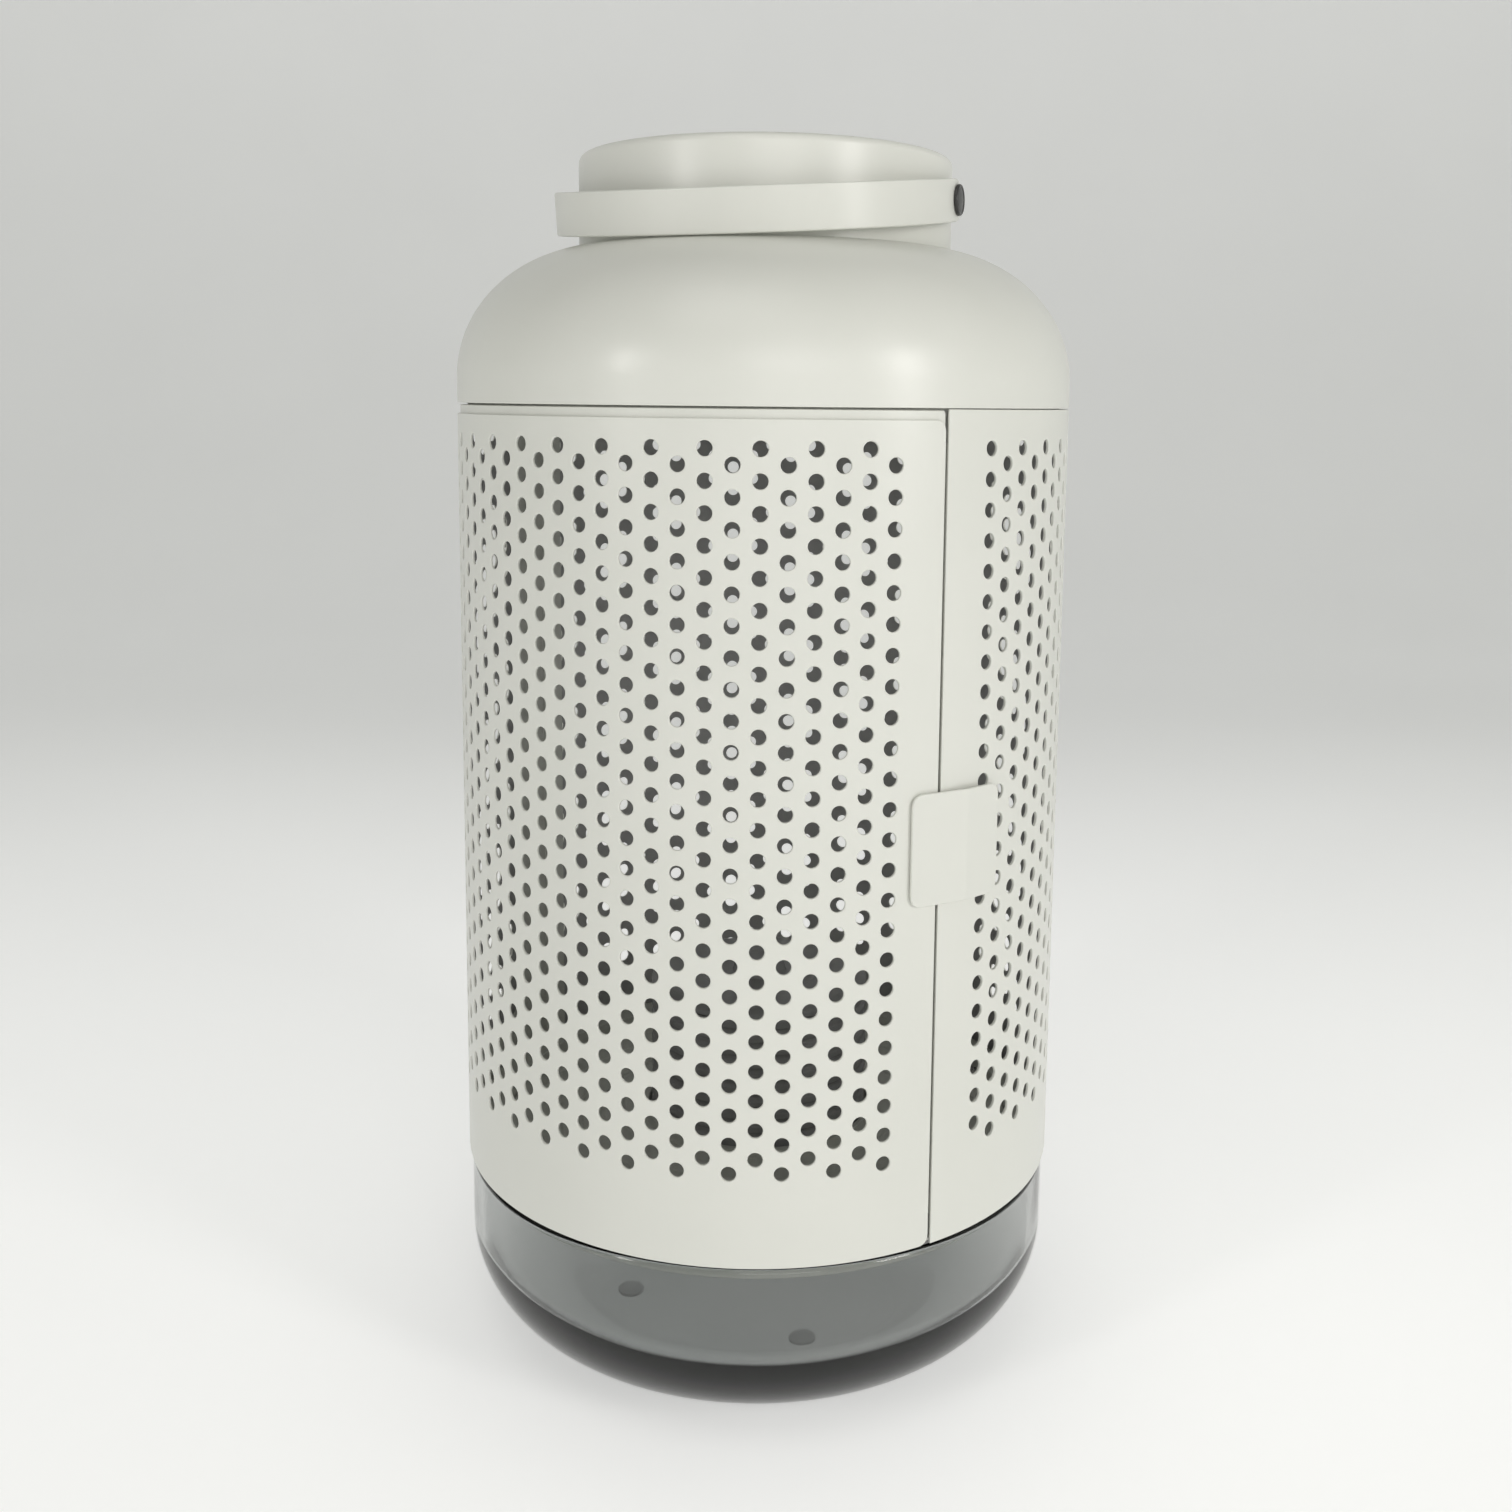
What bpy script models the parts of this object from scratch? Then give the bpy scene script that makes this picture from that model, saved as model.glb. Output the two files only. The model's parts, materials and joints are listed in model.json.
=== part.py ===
"""Lantern-style air purifier: clear base bowl, perforated cage with a door, domed head, bail handle.

Units are metres and +Z is up. The origin is the centre of the footprint, on the surface the purifier
stands on. Directions round the body are bearings in degrees: 0 is the front (-Y), +90 is +X.
Air enters through the cage, rises through the filter cartridge and leaves at the top grille.
"""
import math

import bmesh
import bpy
from mathutils import Matrix, Vector

# ---------------------------------------------------------------- driving dimensions
BODY_RADIUS = 0.1125
TOTAL_HEIGHT = 0.4392
GAP = 0.0003
FACETS = 40
SHEET_STEP = 7.5
SMALL_FACETS = 12

PAD_HEIGHT = 0.0012
PAD_RADIUS = 0.0050
PAD_CIRCLE = 0.0520
PAD_FIRST_BEARING = 19.0

BOWL_RADIUS = 0.1113
BOWL_WALL = 0.0040
BOWL_BOTTOM = PAD_HEIGHT + GAP
BOWL_FLOOR = 0.0125
BOWL_BEND = 0.0402
BOWL_RIM = 0.0685
BOWL_FLAT_RADIUS = 0.0667
BOWL_RIM_ROUND = 0.0030
SEAL_RADII = (0.1076, 0.1106)

CAGE_BOTTOM = 0.0698
CAGE_TOP = 0.3501
SHEET = 0.0010
DOOR_SHEET = 0.0008
DOOR_BEARINGS = (-119.1, 30.85)
PANEL_BEARINGS = (31.40, 240.1)
SKIN_HEIGHTS = (CAGE_BOTTOM, 0.3467)
FRAME_HEIGHTS = (0.0718, 0.3497)
FRAME_OUTER = 0.1114
FRAME_INNER = 0.1094
WINDOW_BEARINGS = (-113.4, 24.0)
WINDOW_HEIGHTS = (0.0950, 0.3410)

STOP_RADIUS = 0.1088
BASE_RING_TOP = 0.0790
BASE_RING_INNER = 0.0980
BASE_FLANGE_HEIGHTS = (0.0702, 0.0714)
BASE_FLANGE_OUTER = 0.1111
BASE_SKIRT_RADII = (0.1025, 0.1069)
BASE_SKIRT_BOTTOM = 0.0640
BASE_LEDGE_INNER = 0.0915
PLATE_HEIGHTS = (0.0721, 0.0746)
PLATE_RADIUS = 0.0976
BASE_SCREW_CIRCLE = 0.0950
SCREW_HOLE = 0.0018
SCREW_SHANK = 0.0014
JAMB_INNER = 0.1040
JAMB_OUTER = 0.1110
JAMB_LIP = 0.0020

CANISTER_RADIUS = 0.0420
CANISTER_HEIGHTS = (0.0749, 0.1260)
CANISTER_WALL = 0.0020
CANISTER_GROOVE = 0.0012
CANISTER_GROOVE_PITCH = 0.0050
CANISTER_SEAT = CANISTER_RADIUS + 0.0012

HEAD_RING_HEIGHTS = (0.3400, 0.3580)
HEAD_RING_INNER = 0.0932
HEAD_RING_OUTER = 0.1100

SHOULDER_BOTTOM = 0.3504
SHOULDER_BEND = 0.3595
SHOULDER_DEPTH = 0.0518
SHOULDER_RISE = 0.0471
SHOULDER_WALL = 0.0020
SHOULDER_HOLE = 0.0686

NECK_RADIUS = 0.0682
NECK_INNER = 0.0652
NECK_BOTTOM = 0.3868
NECK_RIM_ROUND = 0.0028
NECK_FLANGE_RADIUS = 0.0740
NECK_FLANGE_HEIGHTS = (0.3960, 0.3985)
NECK_LEDGE = 0.0027
INLET_HEIGHT = 0.3670
INLET_HOLE = 0.0042

FILTER_RADIUS = 0.0920
FILTER_HEIGHTS = (0.3520, 0.3800)
FILTER_WALL = 0.0025
FILTER_SEAL_RADII = (0.0860, 0.0915)

DECK_HEIGHTS = (0.3840, 0.3865)
DECK_SKIRT_INNER = 0.0934
DECK_SKIRT_OUTER = 0.0956
DECK_FLANGE_OUTER = 0.1060
DECK_SCREW_CIRCLE = 0.1020
DECK_FLANGE = 0.0018

FAN_INLET_RADIUS = 0.0580
HOUSING_RADII = (0.0585, 0.0605)
HOUSING_TOP = 0.4200
HOUSING_FOOT = 0.0642
HOUSING_POST_TOP = 0.4250
IMPELLER_RADIUS = 0.0565
HUB_RADIUS = 0.0200
IMPELLER_HEIGHTS = (0.3920, 0.4120)
MOTOR_RADIUS = 0.0165
MOTOR_HEIGHTS = (0.3950, 0.4163)
SHAFT_RADIUS = 0.0015
SHAFT_BORE = 0.00162
SHAFT_TOP = 0.4100
MOTOR_BORE_TOP = 0.4110
BLADES = 7
BLADE_THICKNESS = 0.0014

GRILLE_RADIUS = 0.0649
GRILLE_HEIGHTS = (0.4310, 0.4340)
SLOT_RINGS = ((0.0225, 0.0400, 24), (0.0430, 0.0605, 36))
SLOT_ENDS = (0.0030, 0.0056)
BUTTON_RADIUS = 0.0122
BUTTON_TOP = 0.4354
LIGHT_RING_OUTER = 0.0152

PIVOT_BEARING = 69.5
PIVOT_HEIGHT = 0.4231
PIN_RADIUS = 0.0025
PIN_HOLE = 0.0029
BAIL_SIDE = 0.0723
BAIL_REACH = 0.0765
BAIL_POWER = 2.4
BAIL_WIDTH = 0.0150
BAIL_THICKNESS = 0.0026
BAIL_TILT = 7.7
CAP_RADIUS = 0.0055
BUSH_RADIUS = 0.0052

HINGE_BEARING = -119.5
HINGE_RADIUS = BODY_RADIUS + 0.0024
HINGE_HEIGHTS = {"upper": 0.3100, "lower": 0.1100}
KNUCKLE_RADIUS = 0.0022
KNUCKLE_LENGTH = 0.0120
HINGE_PIN_RADIUS = 0.0011
HINGE_BORE = 0.00122
LEAF_THICKNESS = 0.0010
LEAF_SPAN = 8.5
LEAF_EDGE = 0.4
HINGE_PIN_HEAD = 0.0019

TAB_HEIGHTS = (0.1891, 0.2268)
TAB_TANGENT = 28.5
TAB_BEARINGS = (25.3, 36.5, 43.9)
TAB_BEND = 13.0
TAB_THICKNESS = 0.0012
TAB_CORNER = 0.0040
BUMPER_BEARING = 40.0
STRIKE_BEARING = 26.8
MAGNET_BEARING = 30.6

# ---------------------------------------------------------------- colours (linear RGB)
WARM_WHITE = (0.72, 0.72, 0.67)
SMOKED_GREY = (0.42, 0.44, 0.43)
NEAR_BLACK = (0.035, 0.034, 0.036)
DARK_GREY = (0.09, 0.09, 0.09)
MID_GREY = (0.36, 0.36, 0.36)
BUMPER_WHITE = (0.62, 0.62, 0.62)
STEEL = (0.62, 0.62, 0.62)
BOARD_GREEN = (0.03, 0.16, 0.07)
PAPER_WHITE = (0.80, 0.80, 0.76)
CARBON_BLACK = (0.02, 0.02, 0.02)
FOAM_GREY = (0.22, 0.22, 0.22)
MILKY = (0.85, 0.90, 0.90)


# ---------------------------------------------------------------- scene helpers
def make_collection(name):
    collection = bpy.data.collections.new(name)
    bpy.context.scene.collection.children.link(collection)
    return collection


def clear_scene():
    for item in list(bpy.data.objects):
        bpy.data.objects.remove(item, do_unlink=True)


def material(name, colour, roughness, metallic=0.0, transmission=0.0):
    shade = bpy.data.materials.new(name)
    shade.use_nodes = True
    shader = shade.node_tree.nodes["Principled BSDF"]
    shader.inputs["Base Color"].default_value = (*colour, 1.0)
    shader.inputs["Roughness"].default_value = roughness
    shader.inputs["Metallic"].default_value = metallic
    shader.inputs["Transmission Weight"].default_value = transmission
    return shade


def add_object(name, mesh, shade=None, parent=None):
    """Put a mesh in the part's collection, or in the cutters' when it has no material."""
    item = bpy.data.objects.new(name, mesh)
    if shade is None:
        CUTTERS.objects.link(item)
        item.hide_render = True
        item.display_type = "WIRE"
        return item
    PART.objects.link(item)
    item.data.materials.append(shade)
    if parent is not None:
        item.parent = parent
        item.matrix_parent_inverse = parent.matrix_world.inverted()
    return item


def joint_empty(name, place):
    empty = bpy.data.objects.new(name, None)
    PART.objects.link(empty)
    empty.location = place
    empty.matrix_world = Matrix.Translation(place)
    return empty


# ---------------------------------------------------------------- geometry helpers
def at_bearing(bearing, radius, height=0.0):
    angle = math.radians(bearing)
    return Vector((radius * math.sin(angle), -radius * math.cos(angle), height))


def arc_points(centre, radii, start, end, count):
    """Points on an ellipse arc in the (radius, height) plane, start and end in degrees."""
    points = []
    for index in range(count + 1):
        angle = math.radians(start + (end - start) * index / count)
        points.append((centre[0] + radii[0] * math.cos(angle), centre[1] + radii[1] * math.sin(angle)))
    return points


def mesh_from_line(name, points, closed):
    mesh = bpy.data.meshes.new(name)
    edges = [(index, index + 1) for index in range(len(points) - 1)]
    if closed:
        edges.append((len(points) - 1, 0))
    mesh.from_pydata([Vector(point) for point in points], edges, [])
    return mesh


def screw(item, angle, steps):
    sweep = item.modifiers.new("turn", "SCREW")
    sweep.axis = "Z"
    sweep.angle = math.radians(angle)
    sweep.steps = steps
    sweep.render_steps = steps
    sweep.use_merge_vertices = True
    sweep.merge_threshold = 0.00001
    sweep.use_normal_calculate = False
    return sweep


def turned(name, profile, shade=None, closed=True, facets=FACETS, parent=None):
    """A solid of revolution about Z. The profile runs down its outer side."""
    line = mesh_from_line(name, [(radius, 0.0, height) for radius, height in profile], closed)
    item = add_object(name, line, shade, parent)
    screw(item, 360.0, facets)
    return item


def turned_to_axis(name, profile, shade=None, facets=FACETS, parent=None):
    """A solid of revolution whose profile starts and ends on the axis."""
    return turned(name, profile, shade, closed=False, facets=facets, parent=parent)


def tube_ring(name, inner, outer, low, high, shade=None, facets=FACETS, parent=None):
    profile = [(outer, high), (outer, low), (inner, low), (inner, high)]
    return turned(name, profile, shade, facets=facets, parent=parent)


def disc(name, radius, low, high, shade=None, facets=FACETS, parent=None):
    profile = [(0.0, high), (radius, high), (radius, low), (0.0, low)]
    return turned_to_axis(name, profile, shade, facets, parent)


def arc_sheet(name, radius, heights, bearings, thickness, shade=None, parent=None):
    """A sheet bent to a cylinder: radius is its outer face, thickness goes inwards."""
    start = at_bearing(bearings[0], radius)
    line = mesh_from_line(name, [(start.x, start.y, heights[1]), (start.x, start.y, heights[0])], False)
    item = add_object(name, line, shade, parent)
    span = bearings[1] - bearings[0]
    screw(item, span, max(2, round(span / SHEET_STEP)))
    solidify = item.modifiers.new("thickness", "SOLIDIFY")
    solidify.thickness = thickness
    solidify.offset = -1.0
    return item


def box(name, size, centre, shade=None, bearing=0.0, parent=None):
    """A box whose -Y side faces the given bearing."""
    mesh = bpy.data.meshes.new(name)
    shape = bmesh.new()
    bmesh.ops.create_cube(shape, size=1.0, matrix=Matrix.Diagonal((*size, 1.0)))
    shape.to_mesh(mesh)
    shape.free()
    item = add_object(name, mesh, shade, parent)
    place = Matrix.Translation(centre) @ Matrix.Rotation(math.radians(bearing), 4, "Z")
    item.matrix_world = place
    return item


def rod(name, radius, start, end, shade=None, facets=SMALL_FACETS, parent=None):
    """A cylinder between two points."""
    start, end = Vector(start), Vector(end)
    mesh = bpy.data.meshes.new(name)
    shape = bmesh.new()
    bmesh.ops.create_cone(
        shape, cap_ends=True, segments=facets, radius1=radius, radius2=radius, depth=(end - start).length
    )
    shape.to_mesh(mesh)
    shape.free()
    item = add_object(name, mesh, shade, parent)
    turn = (end - start).to_track_quat("Z", "Y").to_matrix().to_4x4()
    item.matrix_world = Matrix.Translation((start + end) / 2.0) @ turn
    return item


def flat_outline(name, outlines, low, high, shade=None, parent=None):
    """A plate from closed XY outlines: the first is the rim, the others are openings."""
    curve = bpy.data.curves.new(name, "CURVE")
    curve.dimensions = "2D"
    curve.fill_mode = "BOTH"
    curve.extrude = (high - low) / 2.0
    for outline in outlines:
        spline = curve.splines.new("POLY")
        spline.points.add(len(outline) - 1)
        for point, place in zip(spline.points, outline):
            point.co = (place[0], place[1], 0.0, 1.0)
        spline.use_cyclic_u = True
    return curve_to_mesh(name, curve, (low + high) / 2.0, shade, parent)


def curve_to_mesh(name, curve, height, shade, parent):
    """Turn a curve into a welded mesh object, so that it can be cut and joined."""
    source = bpy.data.objects.new(name + "_curve", curve)
    CUTTERS.objects.link(source)
    source.location.z = height
    bpy.context.view_layer.update()
    evaluated = source.evaluated_get(bpy.context.evaluated_depsgraph_get())
    mesh = bpy.data.meshes.new_from_object(evaluated)
    mesh.materials.clear()
    shape = bmesh.new()
    shape.from_mesh(mesh)
    bmesh.ops.remove_doubles(shape, verts=shape.verts, dist=0.000005)
    bmesh.ops.recalc_face_normals(shape, faces=shape.faces)
    shape.to_mesh(mesh)
    shape.free()
    item = add_object(name, mesh, shade, parent)
    item.matrix_world = source.matrix_world.copy()
    bpy.data.objects.remove(source, do_unlink=True)
    return item


def wire(name, points, radius, shade, parent=None):
    """A round lead along a smooth route."""
    curve = bpy.data.curves.new(name, "CURVE")
    curve.dimensions = "3D"
    curve.bevel_depth = radius
    curve.bevel_resolution = 2
    curve.use_fill_caps = True
    spline = curve.splines.new("POLY")
    spline.points.add(len(points) - 1)
    for point, place in zip(spline.points, points):
        point.co = (*place, 1.0)
    return curve_to_mesh(name, curve, 0.0, shade, parent)


def boolean(item, other, operation):
    step = item.modifiers.new(operation.lower(), "BOOLEAN")
    step.operation = operation
    step.solver = "EXACT"
    step.object = other


def cut(item, *others):
    for other in others:
        boolean(item, other, "DIFFERENCE")


def join(item, *others):
    for other in others:
        boolean(item, other, "UNION")


def around(count, first=0.0):
    return [first + 360.0 * index / count for index in range(count)]


# ---------------------------------------------------------------- base
def base_bowl(shade):
    """Thick-walled clear bowl: straight wall, elliptical foot, flat bottom."""
    foot = (BOWL_RADIUS - BOWL_FLAT_RADIUS, BOWL_BEND - BOWL_BOTTOM)
    inner_radius = BOWL_RADIUS - BOWL_WALL
    inner_foot = (foot[0] + 0.002, BOWL_BEND - BOWL_FLOOR)
    rim = BOWL_RIM_ROUND
    profile = [(0.0, BOWL_FLOOR)]
    profile += arc_points((inner_radius - inner_foot[0], BOWL_BEND), inner_foot, -90.0, 0.0, 4)
    profile += [(inner_radius, BOWL_RIM)]
    profile += arc_points((BOWL_RADIUS - rim, BOWL_RIM - rim), (rim, rim), 90.0, 0.0, 1)
    profile += arc_points((BOWL_RADIUS - foot[0], BOWL_BEND), foot, 0.0, -90.0, 5)
    profile += [(0.0, BOWL_BOTTOM)]
    turned_to_axis("base_bowl", profile, shade)


def foot_pads(shade):
    for number, bearing in enumerate(around(4, PAD_FIRST_BEARING), start=1):
        centre = at_bearing(bearing, PAD_CIRCLE)
        rod(f"foot_pad_{number}", PAD_RADIUS, centre, centre + Vector((0, 0, PAD_HEIGHT)), shade)


def bowl_seal(shade):
    tube_ring("bowl_seal", *SEAL_RADII, BOWL_RIM + GAP, BASE_FLANGE_HEIGHTS[0] - GAP, shade)


def base_screw_places():
    return [at_bearing(bearing, BASE_SCREW_CIRCLE) for bearing in around(4, 20.0)]


def drill(item, places, low, high):
    """Screw holes through a ring or plate, parallel to Z."""
    for place in places:
        cut(item, rod("screw_hole", SCREW_HOLE, place + Vector((0, 0, low)), place + Vector((0, 0, high))))


def base_ring(shade):
    """Ring on the bowl's rim: door sill on top, flange over the seal, ledge for the plate inside."""
    flange_low, flange_high = BASE_FLANGE_HEIGHTS
    skirt_inner, skirt_outer = BASE_SKIRT_RADII
    ledge_top = PLATE_HEIGHTS[0] - GAP
    profile = [
        (STOP_RADIUS, BASE_RING_TOP),
        (STOP_RADIUS, flange_high),
        (BASE_FLANGE_OUTER, flange_high),
        (BASE_FLANGE_OUTER, flange_low),
        (skirt_outer, flange_low),
        (skirt_outer, BASE_SKIRT_BOTTOM),
        (skirt_inner, BASE_SKIRT_BOTTOM),
        (skirt_inner, flange_low),
        (BASE_LEDGE_INNER, flange_low),
        (BASE_LEDGE_INNER, ledge_top),
        (BASE_RING_INNER, ledge_top),
        (BASE_RING_INNER, BASE_RING_TOP),
    ]
    ring = turned("base_ring", profile, shade)
    drill(ring, base_screw_places(), BASE_SKIRT_BOTTOM, BASE_RING_TOP)


def base_plate(shade):
    """Floor of the cage, with a raised ring that centres the canister."""
    low, high = PLATE_HEIGHTS
    rib_top, rib_outer = high + 0.0035, CANISTER_SEAT + 0.0020
    profile = [
        (0.0, high),
        (CANISTER_SEAT, high),
        (CANISTER_SEAT, rib_top),
        (rib_outer, rib_top),
        (rib_outer, high),
        (PLATE_RADIUS, high),
        (PLATE_RADIUS, low),
        (0.0, low),
    ]
    plate = turned_to_axis("base_plate", profile, shade)
    drill(plate, base_screw_places(), low - 0.004, high + 0.004)


def pan_head_screw(name, place, seat, length, head_radius, shade):
    """A screw standing on a face at height seat, its shank going down."""
    head_top = seat + 0.0018
    profile = [
        (0.0, head_top),
        (head_radius * 0.7, head_top),
        (head_radius, seat + 0.0010),
        (head_radius, seat + GAP),
        (SCREW_SHANK, seat + GAP),
        (SCREW_SHANK, seat - length),
        (0.0, seat - length),
    ]
    screw_object = turned_to_axis(name, profile, shade, facets=10)
    screw_object.matrix_world = Matrix.Translation((place.x, place.y, 0.0))


def base_screws(shade):
    for number, place in enumerate(base_screw_places(), start=1):
        pan_head_screw(f"base_screw_{number}", place, PLATE_HEIGHTS[1], 0.0070, 0.0028, shade)


# ---------------------------------------------------------------- cage
def side_panel(shade):
    arc_sheet("side_panel", BODY_RADIUS, (CAGE_BOTTOM, CAGE_TOP), PANEL_BEARINGS, SHEET, shade)


def sector_outline(steps):
    """Outline in the XY plane from (bearing, radius) pairs."""
    return [at_bearing(bearing, radius)[:2] for bearing, radius in steps]


def jamb_posts(shade):
    """Posts inside the fixed panel's two edges. Each has a lip that the door closes against."""
    low, high = BASE_RING_TOP + GAP, HEAD_RING_HEIGHTS[0] - GAP
    for name, edge, outward in (("jamb_post_right", 31.9, 1.0), ("jamb_post_left", -120.6, -1.0)):
        lip_end = edge - 2.6 * outward
        lip_root = edge + 0.7 * outward
        back = edge + 5.4 * outward
        steps = [
            (lip_end, STOP_RADIUS),
            (lip_end, STOP_RADIUS - JAMB_LIP),
            (lip_root, STOP_RADIUS - JAMB_LIP),
            (lip_root, JAMB_INNER),
            (back, JAMB_INNER),
            (back, JAMB_OUTER),
            (edge, JAMB_OUTER),
            (edge, STOP_RADIUS),
        ]
        flat_outline(name, [sector_outline(steps)], low, high, shade)


def head_ring(shade):
    """Header of the door opening. It carries the shoulder and the fan deck."""
    low, high = HEAD_RING_HEIGHTS
    step = CAGE_TOP + 0.0002
    profile = [
        (HEAD_RING_OUTER, high),
        (HEAD_RING_OUTER, step),
        (STOP_RADIUS, step),
        (STOP_RADIUS, low),
        (HEAD_RING_INNER, low),
        (HEAD_RING_INNER, high),
    ]
    ring = turned("head_ring", profile, shade)
    drill(ring, deck_screw_places(), low + 0.006, high + 0.002)


# ---------------------------------------------------------------- door
def door(paint, steel, rubber, parent):
    """Perforated skin on a window frame, with the finger tab, its bumper and the strike plate."""
    arc_sheet("door_panel", BODY_RADIUS, SKIN_HEIGHTS, DOOR_BEARINGS, DOOR_SHEET, paint, parent)
    bearings = (DOOR_BEARINGS[0] + 0.5, DOOR_BEARINGS[1] + 0.2)
    depth = FRAME_OUTER - FRAME_INNER
    frame = arc_sheet("door_frame", FRAME_OUTER, FRAME_HEIGHTS, bearings, depth, paint, parent)
    cut(frame, arc_sheet("window", FRAME_OUTER + 0.004, WINDOW_HEIGHTS, WINDOW_BEARINGS, depth + 0.008))
    door_tab(paint, parent)
    middle = sum(TAB_HEIGHTS) / 2.0
    bumper = at_bearing(BUMPER_BEARING, BODY_RADIUS + 2.0 * GAP, middle)
    box("tab_bumper", (0.0024, 2.0 * GAP, 0.0340), bumper, rubber, BUMPER_BEARING, parent)
    strike = at_bearing(STRIKE_BEARING, FRAME_INNER - 0.0008, middle)
    box("strike_plate", (0.0050, 0.0008, 0.0220), strike, steel, STRIKE_BEARING, parent)


def tab_line():
    """Inner face of the finger tab seen from above: free edge on the door, fold, outer edge."""
    reach = BODY_RADIUS + GAP
    fold_bearing = TAB_BEARINGS[1]
    fold_radius = reach / math.cos(math.radians(fold_bearing - TAB_TANGENT))
    outer_tangent = TAB_TANGENT + TAB_BEND
    outer_reach = fold_radius * math.cos(math.radians(outer_tangent - fold_bearing))
    start = at_bearing(TAB_BEARINGS[0], reach / math.cos(math.radians(TAB_TANGENT - TAB_BEARINGS[0])))
    fold = at_bearing(fold_bearing, fold_radius)
    end_angle = math.radians(TAB_BEARINGS[2] - outer_tangent)
    return start, fold, at_bearing(TAB_BEARINGS[2], outer_reach / math.cos(end_angle))


def door_tab(shade, parent):
    """Finger tab: a plate folded once, with round corners, over the seam at the door's free edge."""
    low, high = TAB_HEIGHTS
    mesh = bpy.data.meshes.new("door_tab")
    shape = bmesh.new()
    bmesh.ops.create_grid(shape, x_segments=2, y_segments=1, size=1.0)
    line = tab_line()
    for vert in shape.verts:
        station = line[round(vert.co.x) + 1]
        vert.co = (station.x, station.y, high if vert.co.y > 0.0 else low)
    corners = [vert for vert in shape.verts if len(vert.link_edges) == 2]
    bmesh.ops.bevel(shape, geom=corners, offset=TAB_CORNER, segments=4, profile=0.5, affect="VERTICES")
    shape.to_mesh(mesh)
    shape.free()
    tab = add_object("door_tab", mesh, shade, parent)
    solidify = tab.modifiers.new("thickness", "SOLIDIFY")
    solidify.thickness = TAB_THICKNESS
    solidify.offset = 1.0
    solidify.use_even_offset = True


def catch_magnet(shade):
    """Magnet on the back of the right jamb's lip, level with the tab."""
    depth = 0.0030
    radius = STOP_RADIUS - JAMB_LIP - GAP - depth / 2.0
    place = at_bearing(MAGNET_BEARING, radius, sum(TAB_HEIGHTS) / 2.0)
    box("catch_magnet", (0.0040, depth, 0.0200), place, shade, MAGNET_BEARING)


# ---------------------------------------------------------------- hinges
def on_hinge_axis(name, radius, low, high):
    """A cylinder on the hinge axis, used as a knuckle, a notch or a bore."""
    axis = at_bearing(HINGE_BEARING, HINGE_RADIUS)
    return rod(name, radius, axis + Vector((0, 0, low)), axis + Vector((0, 0, high)))


def knuckle(name, middle):
    half = (KNUCKLE_LENGTH - GAP) / 2.0
    return on_hinge_axis(name, KNUCKLE_RADIUS, middle - half, middle + half)


def notch(name, low, high):
    return on_hinge_axis(name, KNUCKLE_RADIUS + 0.0005, low, high)


def hinge(place, middle, paint, steel, door_parent):
    """One butt hinge: body leaf with two knuckles, door leaf with one, and its pin."""
    third = KNUCKLE_LENGTH / 2.0 - 0.0002
    low, high = middle - 1.5 * KNUCKLE_LENGTH, middle + 1.5 * KNUCKLE_LENGTH
    outer = BODY_RADIUS + 0.0004 + LEAF_THICKNESS
    bore = on_hinge_axis("bore_" + place, HINGE_BORE, low - 0.01, high + 0.01)

    bearings = (HINGE_BEARING - LEAF_SPAN, HINGE_BEARING - LEAF_EDGE)
    body_leaf = arc_sheet(f"hinge_body_leaf_{place}", outer, (low, high), bearings, LEAF_THICKNESS, paint)
    cut(body_leaf, notch("notch_middle_" + place, middle - third - 0.0004, middle + third + 0.0004))
    for side in (-1, 1):
        join(body_leaf, knuckle(f"body_knuckle_{place}_{side}", middle + side * KNUCKLE_LENGTH))
    cut(body_leaf, bore)

    name = f"hinge_door_leaf_{place}"
    bearings = (HINGE_BEARING + LEAF_EDGE, HINGE_BEARING + LEAF_SPAN)
    door_leaf = arc_sheet(name, outer, (low, high), bearings, LEAF_THICKNESS, paint, door_parent)
    cut(door_leaf, notch("notch_low_" + place, low - 0.001, middle - third))
    cut(door_leaf, notch("notch_high_" + place, middle + third, high + 0.001))
    join(door_leaf, knuckle("door_knuckle_" + place, middle))
    cut(door_leaf, bore)
    hinge_pin(place, low, high, steel)


def hinge_pin(place, low, high, steel):
    head_top = high + 0.0018
    profile = [
        (0.0, head_top),
        (HINGE_PIN_HEAD * 0.8, head_top),
        (HINGE_PIN_HEAD, high + 0.0012),
        (HINGE_PIN_HEAD, high + GAP),
        (HINGE_PIN_RADIUS, high + GAP),
        (HINGE_PIN_RADIUS, low - 0.0010),
        (0.0, low - 0.0010),
    ]
    pin = turned_to_axis(f"hinge_pin_{place}", profile, steel, SMALL_FACETS)
    pin.matrix_world = Matrix.Translation(at_bearing(HINGE_BEARING, HINGE_RADIUS))


# ---------------------------------------------------------------- head shell
def shoulder_line(offset, count):
    """Dome section from its hole down to its straight edge, moved inwards by offset."""
    centre = (BODY_RADIUS - SHOULDER_DEPTH, SHOULDER_BEND)
    radii = (SHOULDER_DEPTH - offset, SHOULDER_RISE - offset)
    start = math.degrees(math.acos((SHOULDER_HOLE - centre[0]) / radii[0]))
    return arc_points(centre, radii, start, 0.0, count)


def shoulder_cover(shade):
    outer = shoulder_line(0.0, 6)
    inner = shoulder_line(SHOULDER_WALL, 5)
    bottom = [(BODY_RADIUS, SHOULDER_BOTTOM), (BODY_RADIUS - SHOULDER_WALL, SHOULDER_BOTTOM)]
    cover = turned("shoulder_cover", outer + bottom + inner[::-1], shade)
    start = at_bearing(180.0, BODY_RADIUS - 0.006, INLET_HEIGHT)
    end = at_bearing(180.0, BODY_RADIUS + 0.004, INLET_HEIGHT)
    cut(cover, rod("inlet_hole", INLET_HOLE, start, end))


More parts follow.
